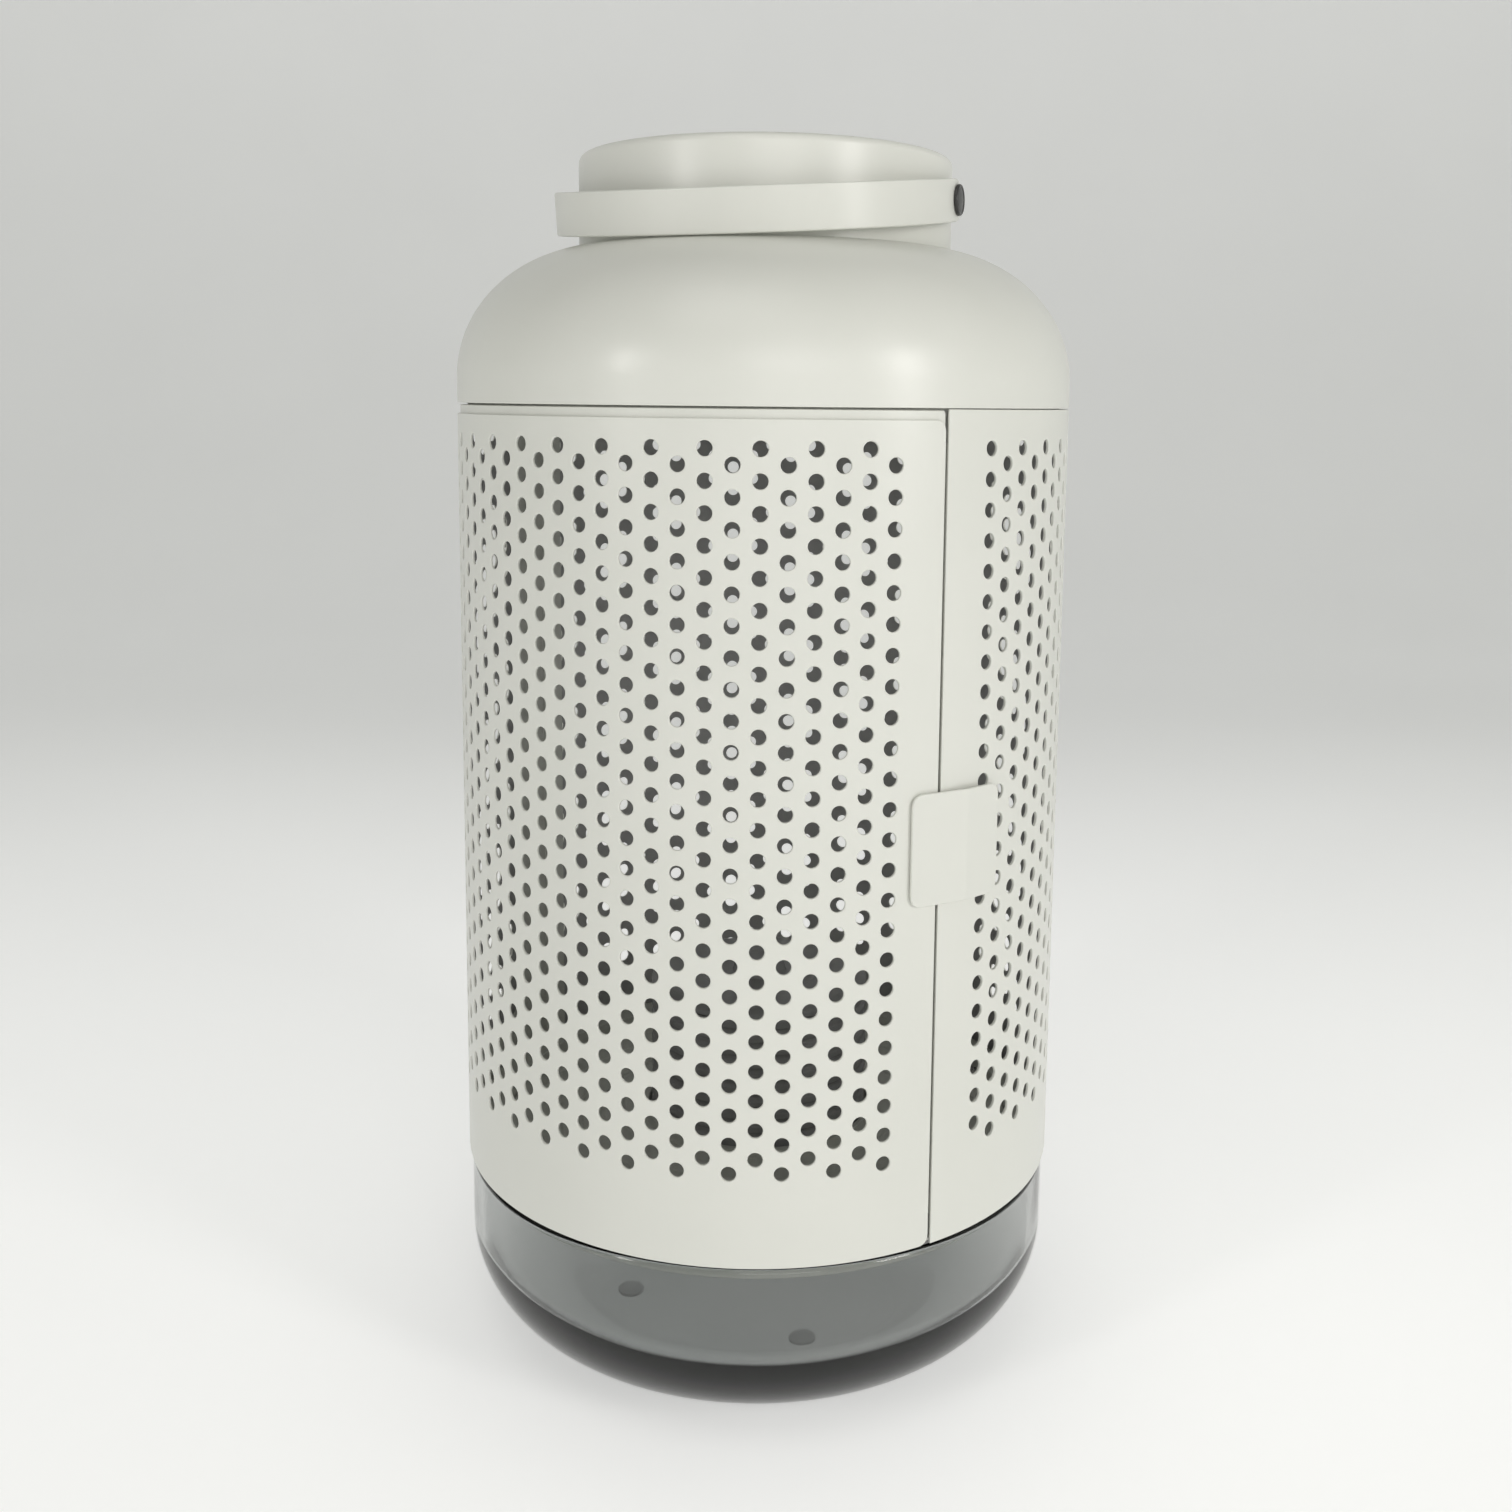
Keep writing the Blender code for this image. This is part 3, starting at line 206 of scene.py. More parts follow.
def piece(name, mesh, like, shades=(), replaced=(), place=None, sharp=38.0, own_normals=False):
    """A finished piece: it rides with the CAD node it is like, and stands for those it replaces.

    Its material is the one of that node's slot, unless shades names others.
    """
    item = linked(name, mesh)
    if not mesh.materials:
        for slot in shades or [NODE_SLOT[like]]:
            mesh.materials.append(SHADES[slot])
    if place is not None:
        item.matrix_world = place
    if not own_normals:
        mesh.shade_smooth()
        mesh.set_sharp_from_angle(angle=math.radians(sharp))
        weighted = item.modifiers.new("even shading", "WEIGHTED_NORMAL")
        weighted.keep_sharp = True
    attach(item, NODE_BODY[like])
    if replaced:
        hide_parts(*replaced)


def stand_in(node, name, mesh, shades=(), **options):
    """A piece that takes the place of one CAD node."""
    piece(name, mesh, node, shades, [node], **options)


def joined_rows(shape, rows, closed=True):
    """Faces between rows of vertices, which are loops or open lines."""
    for before, after in zip(rows, rows[1:]):
        count = len(before)
        for index in range(count if closed else count - 1):
            following = (index + 1) % count
            corners = (before[index], after[index], after[following], before[following])
            shape.faces.new(corners)


def mesh_of(shape, face_outwards=True):
    if face_outwards:
        bmesh.ops.recalc_face_normals(shape, faces=shape.faces)
    mesh = bpy.data.meshes.new("mesh")
    shape.to_mesh(mesh)
    shape.free()
    return mesh


def modified(mesh, kind, **settings):
    """The mesh after one modifier."""
    item = linked("working", mesh)
    step = item.modifiers.new("step", kind)
    for name, value in settings.items():
        setattr(step, name, value)
    bpy.context.view_layer.update()
    evaluated = item.evaluated_get(bpy.context.evaluated_depsgraph_get())
    result = bpy.data.meshes.new_from_object(evaluated)
    bpy.data.objects.remove(item)
    return result


def cut_by(mesh, cutter):
    """The mesh with a cutter's shape taken out of it."""
    tool = linked("cutter", cutter)
    result = modified(mesh, "BOOLEAN", operation="DIFFERENCE", solver="EXACT", object=tool)
    bpy.data.objects.remove(tool)
    return result


def bevelled(mesh, width, segments=3):
    limits = {"limit_method": "ANGLE", "angle_limit": math.radians(30.0)}
    return modified(mesh, "BEVEL", width=width, segments=segments, **limits)


def block(size, place=Matrix()):
    shape = bmesh.new()
    bmesh.ops.create_cube(shape, size=1.0, matrix=place @ Matrix.Diagonal((*size, 1.0)))
    return mesh_of(shape)


def softened(node, name, width, shades=()):
    """A CAD node's own shape with its edges rounded off."""
    shape = bmesh.new()
    shape.from_mesh(frame["nodes"][node].data)
    bmesh.ops.remove_doubles(shape, verts=shape.verts, dist=0.00001)
    level = math.radians(2.0)
    bmesh.ops.dissolve_limit(shape, angle_limit=level, verts=shape.verts, edges=shape.edges)
    mesh = bevelled(mesh_of(shape), width)
    mesh.materials.clear()
    stand_in(node, name, mesh, shades)


# ---- turned shapes
def fillet(points, radius, steps=3, closed=True):
    """Round the corners of an outline. radius is one number, or one for each point."""
    radii = list(radius) if isinstance(radius, (list, tuple)) else [radius] * len(points)
    rounded = []
    for index, point in enumerate(points):
        here = Vector(point)
        if radii[index] <= 0.0 or (not closed and index in (0, len(points) - 1)):
            rounded.append(tuple(here))
            continue
        to_before = Vector(points[index - 1]) - here
        to_after = Vector(points[(index + 1) % len(points)]) - here
        reach = min(radii[index], 0.45 * to_before.length, 0.45 * to_after.length)
        start, end = here + to_before.normalized() * reach, here + to_after.normalized() * reach
        for step in range(steps + 1):
            along = step / steps
            rounded.append(tuple(start.lerp(here, along).lerp(here.lerp(end, along), along)))
    return rounded


def lathe(profile, segments=SMOOTH):
    """A mesh turned about Z from (radius, height) points that form a loop or end on the axis."""
    shape = bmesh.new()
    rings = []
    for radius, height in profile:
        count = 1 if radius < 1e-7 else segments
        places = [at_bearing(bearing, radius, height) for bearing in around(count)]
        rings.append([shape.verts.new(place) for place in places])
    if len(rings[0]) > 1:
        rings.append(rings[0])
    for upper, lower in zip(rings, rings[1:]):
        for index in range(segments):
            after = index + 1
            corners = [upper[index % len(upper)], lower[index % len(lower)]]
            corners += [lower[after % len(lower)], upper[after % len(upper)]]
            corners = list(dict.fromkeys(corners))
            if len(corners) > 2:
                shape.faces.new(corners)
    return mesh_of(shape)


def turned_solid(profile, soft, segments, steps=3):
    """A turned shape from a profile that starts and ends on the axis, with its corners rounded."""
    return lathe(fillet(profile, soft, steps, closed=False), segments)


def turned_ring(inner, outer, low, high, soft=SOFT, segments=SMOOTH):
    return lathe(fillet([(outer, high), (outer, low), (inner, low), (inner, high)], soft), segments)


# ---- sheets with their own normals
def turns_left(outline):
    """Whether an outline runs anticlockwise."""
    return sum(a[0] * b[1] - a[1] * b[0] for a, b in zip(outline, outline[1:] + outline[:1])) > 0.0


def is_inside(point, loop):
    inside = False
    for index, (right, top) in enumerate(loop):
        left, bottom = loop[index - 1]
        if (top > point[1]) != (bottom > point[1]):
            if point[0] < (left - right) * (point[1] - top) / (bottom - top) + right:
                inside = not inside
    return inside


def covers(loops, point):
    return is_inside(point, loops[0]) and not any(is_inside(point, loop) for loop in loops[1:])


def stepped(corners, spacing=SPACING):
    """The outline with points added, so that no step is longer than spacing."""
    points = []
    for index, corner in enumerate(corners):
        here, after = corner, corners[(index + 1) % len(corners)]
        count = max(1, math.ceil(math.dist(here, after) / spacing))
        for step in range(count):
            points.append(tuple(a + (b - a) * step / count for a, b in zip(here, after)))
    return points


def side_of(loop, index):
    """Unit direction out of the material at a loop's point. Material is on the loop's left."""
    before, after = loop[index - 1], loop[(index + 1) % len(loop)]
    along = (after[0] - before[0], after[1] - before[1])
    length = math.hypot(*along)
    return along[1] / length, -along[0] / length


def inset(loop, distance):
    moved = []
    for index, point in enumerate(loop):
        side = side_of(loop, index)
        moved.append((point[0] - side[0] * distance, point[1] - side[1] * distance))
    return moved


def rectangle(left, right, low, high, corner=0.0, steps=6, spacing=SPACING):
    corners = [(left, low), (right, low), (right, high), (left, high)]
    return stepped(fillet(corners, corner, steps) if corner else corners, spacing)


def circle(centre, radius, sides, clockwise=True):
    turn = -360.0 if clockwise else 360.0
    return arc_points(centre, (radius, radius), 0.0, turn, sides)[:-1]


class Sheet:
    """A thin shaped wall gathered face by face, with a normal of its own at each vertex.

    wrap(u, v) says where a point of the flat pattern lies on the outer face. It gives the place, the
    direction out of the wall, and the directions in which u and v grow.
    """

    def __init__(self, wrap, thickness):
        self.wrap, self.thickness = wrap, thickness
        self.places, self.normals, self.known = [], [], {}
        self.faces, self.inner = [], []

    def vert(self, point, depth=0.0, tilt=(0.0, 0.0), facing=1.0):
        """A vertex below the outer face. tilt leans its normal along the sheet."""
        key = tuple(round(value, 6) for value in (*point, depth, *tilt, facing))
        if key not in self.known:
            place, out, along, up = self.wrap(*point)
            level = facing * math.sqrt(max(0.0, 1.0 - tilt[0] ** 2 - tilt[1] ** 2))
            self.known[key] = len(self.places)
            self.places.append(place - out * depth)
            self.normals.append((out * level + along * tilt[0] + up * tilt[1]).normalized())
        return self.known[key]

    def face(self, corners, facing=1.0):
        if len(set(corners)) > 2:
            self.faces.append(corners if facing > 0.0 else corners[::-1])
            self.inner.append(facing < 0.0)

    def bands(self, rows):
        """Join rows of vertices with the material on their left, from the front to the back."""
        for upper, lower in zip(rows, rows[1:]):
            for index in range(len(upper)):
                after = (index + 1) % len(upper)
                self.face([upper[index], lower[index], lower[after], upper[after]])

    def edge(self, loop, soft, soft_back=True):
        """The rounded edge along a loop, and the loop that its front ends on."""
        steps = [(1.0, soft, angle) for angle in (0.0, 30.0, 60.0, 90.0)]
        if soft_back:
            steps += [(-1.0, soft, angle) for angle in (90.0, 45.0, 0.0)]
        else:
            steps.append((-1.0, 0.0, 90.0))
        rows = []
        for facing, radius, angle in steps:
            lean = math.sin(math.radians(angle))
            sink = radius * (1.0 - math.cos(math.radians(angle)))
            depth = sink if facing > 0.0 else self.thickness - sink
            row = []
            for index, point in enumerate(inset(loop, radius * (1.0 - lean))):
                side = side_of(loop, index)
                row.append(self.vert(point, depth, (side[0] * lean, side[1] * lean), facing))
            rows.append(row)
        self.bands(rows)
        return inset(loop, soft)

    def fill(self, loops, depth=0.0, facing=1.0, spacing=SPACING):
        """Cover the pattern inside the first loop and outside the others."""
        points = [tuple(point) for loop in loops for point in loop]
        edges, start = [], 0
        for loop in loops:
            edges += [(start + index, start + (index + 1) % len(loop)) for index in range(len(loop))]
            start += len(loop)
        near = KDTree(len(points))
        for index, point in enumerate(points):
            near.insert((*point, 0.0), index)
        near.balance()
        (left, right), (low, high) = ((min(values), max(values)) for values in zip(*loops[0]))
        for column in range(1, int((right - left) / spacing) + 1):
            for row in range(1, int((high - low) / spacing) + 1):
                point = (left + column * spacing, low + row * spacing)
                if near.find((*point, 0.0))[2] > 0.55 * spacing and covers(loops, point):
                    points.append(point)
        found = delaunay_2d_cdt([Vector(point) for point in points], edges, [], 0, 1e-9)
        for corners in found[2]:
            corners = [points[found[3][index][0]] for index in corners]
            middle = tuple(sum(values) / 3.0 for values in zip(*corners))
            if covers(loops, middle):
                self.face([self.vert(point, depth, facing=facing) for point in corners], facing)

    def mesh(self, inner_shade=False):
        mesh = bpy.data.meshes.new("mesh")
        mesh.from_pydata(self.places, [], self.faces)
        mesh.shade_smooth()
        if inner_shade:
            mesh.polygons.foreach_set("material_index", [int(is_inner) for is_inner in self.inner])
        mesh.normals_split_custom_set_from_vertices(self.normals)
        return mesh


def shaped_plate(wrap, loops, thickness, soft=SOFT, spacing=SPACING):
    """An even plate with rounded edges. The outline runs anticlockwise and holes run clockwise."""
    sheet = Sheet(wrap, thickness)
    faces = [sheet.edge(loop, soft) for loop in loops]
    sheet.fill(faces, spacing=spacing)
    sheet.fill(faces, thickness, -1.0, spacing)
    return sheet.mesh()


def round_wall(radius):
    """Wrap for a wall round the body. u is the arc length at the body's radius, v the height."""
    def wrap(u, v):
        bearing = math.degrees(u / BODY_RADIUS)
        out = at_bearing(bearing, 1.0)
        return out * radius + UP * v, out, at_bearing(bearing + 90.0, 1.0), UP
    return wrap


def level_plate(height):
    """Wrap for a flat plate whose outer face is its top."""
    def wrap(u, v):
        return Vector((u, v, height)), UP, Vector((1.0, 0.0, 0.0)), Vector((0.0, 1.0, 0.0))
    return wrap


def arc_length(bearing):
    return math.radians(bearing) * BODY_RADIUS


# ---- perforated sheets
def hexagon(centre):
    """Corners of a hole's cell, anticlockwise from the right-hand one."""
    third = arc_length(COLUMN_STEP) / 3.0
    corners = []
    for index in range(6):
        angle = math.radians(60.0 * index)
        across = round(2.0 * math.cos(angle)) * third
        corners.append((centre[0] + across, centre[1] + PITCH / math.sqrt(3.0) * math.sin(angle)))
    return corners


def hole_cell(sheet, centre):
    """The sheet's front, rim, wall and back round one hole."""
    sheet.edge(circle(centre, HOLE_RADIUS, HOLE_SIDES), RIM_ROUND, soft_back=False)
    share = HOLE_SIDES // 6
    front, back = (1.0, 0.0, HOLE_RADIUS + RIM_ROUND), (-1.0, sheet.thickness, HOLE_RADIUS)
    for facing, depth, radius in (front, back):
        outer = [sheet.vert(corner, depth, facing=facing) for corner in hexagon(centre)]
        rim = circle(centre, radius, HOLE_SIDES, clockwise=False)
        rim = [sheet.vert(point, depth, facing=facing) for point in rim]
        for sector in range(6):
            near, far = outer[sector], outer[(sector + 1) % 6]
            arc = [rim[(sector * share + step) % HOLE_SIDES] for step in range(share + 1)]
            for step in range(share):
                tip = near if step <= share // 2 else far
                sheet.face([tip, arc[step + 1], arc[step]], facing)
            sheet.face([near, far, arc[share // 2 + 1]], facing)


def outline_of_cells(centres):
    """The zigzag round all the holes' cells, anticlockwise."""
    def key(point):
        return round(point[0], 6), round(point[1], 6)

    steps = {}
    for centre in centres:
        corners = hexagon(centre)
        for index in range(6):
            start, end = corners[index], corners[(index + 1) % 6]
            if (key(end), key(start)) in steps:
                del steps[key(end), key(start)]
            else:
                steps[key(start), key(end)] = start
    following = {start: (point, end) for (start, end), point in steps.items()}
    first = here = next(iter(following))
    outline = []
    while not outline or here != first:
        point, here = following[here]
        outline.append(point)
    return outline


def perforated_sheet(bearings, sheet_heights, thickness, columns, corner=0.0):
    """A sheet bent to the body with columns of holes, every other one half a pitch lower.

    columns gives the first one's bearing, how many there are, and whether the first is a lower one.
    """
    sheet = Sheet(round_wall(BODY_RADIUS), thickness)
    first_bearing, count, starts_lower = columns
    centres = []
    for column in range(count):
        along = arc_length(first_bearing + column * COLUMN_STEP)
        top = TOP_ROW - (PITCH / 2.0 if (column + starts_lower) % 2 else 0.0)
        centres += [(along, top - row * PITCH) for row in range(ROWS)]
    for centre in centres:
        hole_cell(sheet, centre)
    outline = rectangle(*map(arc_length, bearings), *sheet_heights, corner)
    inner_loop = outline_of_cells(centres)
    front = sheet.edge(outline, SOFT)
    sheet.fill([front, inner_loop])
    sheet.fill([front, inner_loop], thickness, -1.0)
    return sheet.mesh(inner_shade=True)


# ---- materials
def adjusted(node, settings):
    """The node with its inputs set. An underscore in a setting's name stands for a space."""
    for name, value in settings.items():
        node.inputs[name.replace("_", " ")].default_value = value
    return node


def made(tree, kind, **settings):
    return adjusted(tree.nodes.new("ShaderNode" + kind), settings)


def join(source, node, name):
    node.id_data.links.new(source, node.inputs[name])


def noise(tree, scale, detail=3.0):
    """Noise on object coordinates, whose unit is a metre."""
    texture = made(tree, "TexNoise", Scale=scale, Detail=detail)
    join(made(tree, "TexCoord").outputs["Object"], texture, "Vector")
    return texture.outputs["Fac"]


def spread(source, low, high):
    """Map noise to a range of values."""
    step = made(source.id_data, "MapRange", From_Min=0.3, From_Max=0.7, To_Min=low, To_Max=high)
    join(source, step, "Value")
    return step.outputs["Result"]


def between(source, first, second):
    """Colour that runs from first to second with the noise."""
    ramp = made(source.id_data, "ValToRGB")
    for stop, position, colour in zip(ramp.color_ramp.elements, (0.35, 0.65), (first, second)):
        stop.position, stop.color = position, (*colour, 1.0)
    join(source, ramp, "Fac")
    return ramp.outputs["Color"]


def bumps(shader, scale, height, detail=2.0, before=None):
    """Bumps of a noise scale and a height, on top of those before them."""
    bump = made(shader.id_data, "Bump", Distance=height)
    join(noise(shader.id_data, scale, detail), bump, "Height")
    if before is not None:
        join(before, bump, "Normal")
    join(bump.outputs["Normal"], shader, "Normal")
    return bump.outputs["Normal"]


def mottled(name, colours, rough, scales, **settings):
    """Two close colours and uneven roughness. scales are the two noise scales, in that order."""
    shade = bpy.data.materials.new(name)
    shade.use_nodes = True
    tree = shade.node_tree
    shader = adjusted(tree.nodes["Principled BSDF"], settings)
    join(between(noise(tree, scales[0]), *colours), shader, "Base Color")
    join(spread(noise(tree, scales[1]), *rough), shader, "Roughness")
    return shade, shader


def speckled(name, colours, rough, mottle, grain, relief, **settings):
    """A mottled shade with a fine grain: two noise scales, and a height in units of TOOTH."""
    shade, shader = mottled(name, colours, rough, (mottle, mottle * 2.3), **settings)
    bumps(shader, grain, relief * TOOTH)
    return shade


def grey(value, spread_by):
    return (value - spread_by,) * 3, (value + spread_by,) * 3


def paint_shade(name, colours, rough):
    """Sprayed paint, with its orange peel and fine tooth."""
    shade, shader = mottled(name, colours, rough, (14.0, 55.0))
    peel = bumps(shader, 420.0, 0.00003)
    bumps(shader, 2600.0, 0.000006, before=peel)
    return shade


def smoked_shade():
    """Thick smoked clear bowl, with the faint waviness of a moulded wall."""
    colours = ((0.80, 0.82, 0.815), (0.84, 0.85, 0.845))
    clear = {"Transmission_Weight": 1.0, "IOR": 1.49}
    shade, shader = mottled("smoked clear", colours, (0.01, 0.04), (9.0, 30.0), **clear)
    tree = shade.node_tree
    smoke = made(tree, "VolumeAbsorption", Color=(0.30, 0.32, 0.31, 1.0), Density=SMOKE_DENSITY)
    join(smoke.outputs["Volume"], tree.nodes["Material Output"], "Volume")
    bumps(shader, 16.0, 0.0004, 1.0)
    return shade


def bumper_shade():
    """Cloudy clear rubber, with a fine grain."""
    cloudy = {"Transmission_Weight": 0.85, "IOR": 1.41}
    shade, shader = mottled("milky bumper", grey(0.88, 0.02), (0.35, 0.45), (90.0, 200.0), **cloudy)
    bumps(shader, 2500.0, TOOTH)
    return shade


def make_shades():
    white = ((0.735, 0.742, 0.690), (0.755, 0.760, 0.710))
    paper = ((0.78, 0.78, 0.73), (0.84, 0.84, 0.80))
    mask = ((0.02, 0.13, 0.05), (0.03, 0.18, 0.07))
    plain = {  # name, colours, roughness, scales of mottle and grain, height of the grain
        "painted_plastic": ("warm white plastic", white, (0.42, 0.52), 20.0, 1900.0, 2.0),
        "black_plastic": ("black plastic", grey(0.034, 0.006), (0.26, 0.38), 80.0, 3000.0, 1.0),
        "dark_plastic": ("dark grey plastic", grey(0.085, 0.012), (0.45, 0.6), 50.0, 2200.0, 2.0),
        "grey_plastic": ("grey plastic", grey(0.36, 0.02), (0.16, 0.26), 60.0, 2400.0, 1.0),
        "rubber": ("soft grey rubber", grey(0.23, 0.03), (0.7, 0.85), 90.0, 2500.0, 3.0),
        "carbon": ("carbon", grey(0.02, 0.01), (0.75, 0.95), 400.0, 700.0, 50.0),
        "light_ring": ("milky ring", grey(0.85, 0.03), (0.25, 0.35), 60.0, 900.0, 1.0),
        "filter_paper": ("filter paper", paper, (0.85, 0.95), 150.0, 1500.0, 10.0),
        "circuit_board": ("circuit board", mask, (0.35, 0.5), 200.0, 900.0, 5.0),
    }
    steel = ("bright steel", grey(0.60, 0.05), (0.22, 0.36), 120.0, 1800.0, 1.0)
    shades = {
        "paint": paint_shade("warm white powder coat", white, (0.28, 0.35)),
        # painted shade: a darker grey for the inside faces of the sheets, standing in for the dim light in the
        # cage
        "painted_shade": paint_shade("grey primer", grey(0.50, 0.02), (0.6, 0.75)),
        "smoked_clear": smoked_shade(),
        "bumper": bumper_shade(),
        "steel": speckled(*steel, Metallic=1.0),
    }
    return shades | {slot: speckled(*settings) for slot, settings in plain.items()}


# ---- base
def base():
    bowl()
    profile = [(0.0, PAD_TOP), (PAD_RADIUS, PAD_TOP), (PAD_RADIUS, 0.0), (0.0, 0.0)]
    for number, bearing in enumerate(around(4, PAD_FIRST_BEARING), start=1):
        place = Matrix.Translation(at_bearing(bearing, PAD_CIRCLE))
        pad = turned_solid(profile, 0.0004, 40)
        stand_in(f"foot_pad_{number}", f"foot_pad_disc_{number}", pad, place=place)
    stand_in("bowl_seal", "bowl_seal_ring", turned_ring(0.1076, 0.1106, *heights("bowl_seal")))
    base_ring()
    cage_floor()


def bowl():
    """Thick clear bowl: straight wall, elliptical foot, flat bottom and a rounded rim."""
    wall, bend, floor, flat = 0.0040, 0.0402, 0.0125, 0.0667
    outer = radius_of("base_bowl")
    foot = (outer - flat, bend - BOWL_BOTTOM)
    inner = outer - wall
    inner_foot = (foot[0] + 0.002, bend - floor)
    profile = [(0.0, floor), (0.02, floor)]
    profile += arc_points((inner - inner_foot[0], bend), inner_foot, -90.0, 0.0, 24)
    profile += arc_points((inner + 0.0010, BOWL_RIM - 0.0010), (0.0010, 0.0010), 180.0, 90.0, 4)
    profile += arc_points((outer - 0.0022, BOWL_RIM - 0.0022), (0.0022, 0.0022), 90.0, 0.0, 8)
    profile += arc_points((outer - foot[0], bend), foot, 0.0, -90.0, 28)
    profile += [(0.02, BOWL_BOTTOM), (0.0, BOWL_BOTTOM)]
    stand_in("base_bowl", "clear_bowl", lathe(profile, 160))


def base_ring():
    """Ring on the bowl's rim: door sill on top, flange over the seal, ledge for the floor inside."""
    low, high = heights("base_ring")
    flange_low, flange_high, ledge = 0.0702, 0.0714, PLATE_BOTTOM - GAP
    profile = [(STOP_RADIUS, high), (STOP_RADIUS, flange_high), (0.1111, flange_high)]
    profile += [(0.1111, flange_low), (0.1069, flange_low), (0.1069, low), (0.1025, low)]
    profile += [(0.1025, flange_low), (0.0915, flange_low), (0.0915, ledge), (0.0980, ledge)]
    profile += [(0.0980, high)]
    stand_in("base_ring", "sill_ring", lathe(fillet(profile, 0.0005)))


def cage_floor():
    """Floor of the cage, with the ring that centres the canister and shallow ribs round it."""
    low, high = PLATE_BOTTOM, PLATE_RIB_TOP - 0.0035
    seat, outer = CANISTER_RADIUS + 0.0012, radius_of("base_plate")
    profile = [(0.0, high), (seat, high), (seat, PLATE_RIB_TOP), (seat + 0.0020, PLATE_RIB_TOP)]
    profile += [(seat + 0.0020, high)]
    for index in range(5):
        inner = 0.0520 + index * 0.0085
        profile += [(inner, high), (inner + 0.0004, high - 0.0006), (inner + 0.0016, high - 0.0006)]
        profile += [(inner + 0.0020, high)]
    profile += [(outer, high), (outer, low), (0.0, low)]
    stand_in("base_plate", "cage_floor", turned_solid(profile, SOFT, 96, 2))


def cross_screw(head_radius, head_height, length):
    """A pan head screw with a cross recess. Its seat is at height 0 and its shank points down."""
    profile = [(0.0, head_height)]
    profile += arc_points((0.0, 0.0), (head_radius, head_height), 84.0, 14.0, 7)
    profile += [(head_radius, 0.0), (0.0014, 0.0), (0.0014, -length), (0.0, -length - 0.0008)]
    mesh = lathe(profile, 32)
    top = Matrix.Translation((0.0, 0.0, head_height))
    for turn in (0.0, 90.0):
        size = (head_radius * 1.25, head_radius * 0.24, head_height)
        mesh = cut_by(mesh, block(size, top @ turned(turn)))
    return mesh


def screws():
    mesh = cross_screw(0.0028, 0.0016, 0.0065)
    for prefix, count, first, circle_radius, seat in (
        ("base_screw", 4, 20.0, 0.0950, PLATE_RIB_TOP - 0.0035 + GAP),
        ("deck_screw", 3, 60.0, 0.1020, heights("deck_screw_1")[1] - 0.0018 + GAP),
    ):
        for number, bearing in enumerate(around(count, first), start=1):
            place = Matrix.Translation(at_bearing(bearing, circle_radius, seat))
            place = place @ turned(bearing * 1.7)
            stand_in(f"{prefix}_{number}", f"{prefix}_crosshead_{number}", mesh, place=place)


# ---- cage and door
def cage():
    panel = perforated_sheet(PANEL_BEARINGS, CAGE_HEIGHTS, PANEL_THICKNESS, PANEL_COLUMNS)
    stand_in("side_panel", "perforated_side_panel", panel, SHEET_SHADES, own_normals=True)
    for node in ("jamb_post_left", "jamb_post_right"):
        softened(node, node + "_softened", SOFT, ["paint"])
    low, high = heights("head_ring")
    step = CAGE_HEIGHTS[1] + 0.0002
    profile = [(0.1100, high), (0.1100, step), (STOP_RADIUS, step), (STOP_RADIUS, low)]
    profile += [(0.0932, low), (0.0932, high)]
    stand_in("head_ring", "header_ring", lathe(fillet(profile, 0.0005)))


def door():
    skin = perforated_sheet(DOOR_BEARINGS, heights("door_panel"), SKIN_THICKNESS, DOOR_COLUMNS, 0.0040)
    stand_in("door_panel", "perforated_door_skin", skin, SHEET_SHADES, own_normals=True)
    edges = [arc_length(bearing + margin) for bearing, margin in zip(DOOR_BEARINGS, FRAME_MARGINS)]
    outline = rectangle(*edges, *heights("door_frame"), 0.0015)
    window = rectangle(*map(arc_length, WINDOW_BEARINGS), *WINDOW_HEIGHTS, 0.0060)
    frame_mesh = shaped_plate(round_wall(0.1114), [outline, window[::-1]], 0.0020)
    stand_in("door_frame", "door_window_frame", frame_mesh, own_normals=True)
    finger_tab()
    softened("tab_bumper", "tab_bumper_pad", 0.0001)
    softened("strike_plate", "strike_plate_steel", 0.0002)
    softened("catch_magnet", "catch_magnet_block", 0.0003, ["steel"])


def finger_tab():
    """Plate with one soft fold and round corners, over the seam at the door's free edge."""
    bend_radius, half_bend = 0.0025, TAB_BEND / 2.0
    fold_radius = (BODY_RADIUS + GAP) / math.cos(math.radians(TAB_FOLD - TAB_TANGENT))
    middle = at_bearing(TAB_TANGENT + half_bend, 1.0) / math.cos(math.radians(half_bend))
    centre = at_bearing(TAB_FOLD, fold_radius) + middle * (TAB_THICKNESS - bend_radius)
    reach = bend_radius * math.radians(half_bend)

    def wrap(u, v):
        turn = TAB_BEND * min(1.0, max(0.0, (u + reach) / (2.0 * reach)))
        out, along = at_bearing(TAB_TANGENT + turn, 1.0), at_bearing(TAB_TANGENT + turn + 90.0, 1.0)
        past = u - max(-reach, min(reach, u))
        return centre + out * bend_radius + along * past + UP * v, out, along, UP

    outline = rectangle(*TAB_SIDES, *heights("door_tab"), 0.0045, 8, TAB_SPACING)
    mesh = shaped_plate(wrap, [outline], TAB_THICKNESS, 0.00035, TAB_SPACING)
    stand_in("door_tab", "finger_tab", mesh, own_normals=True)


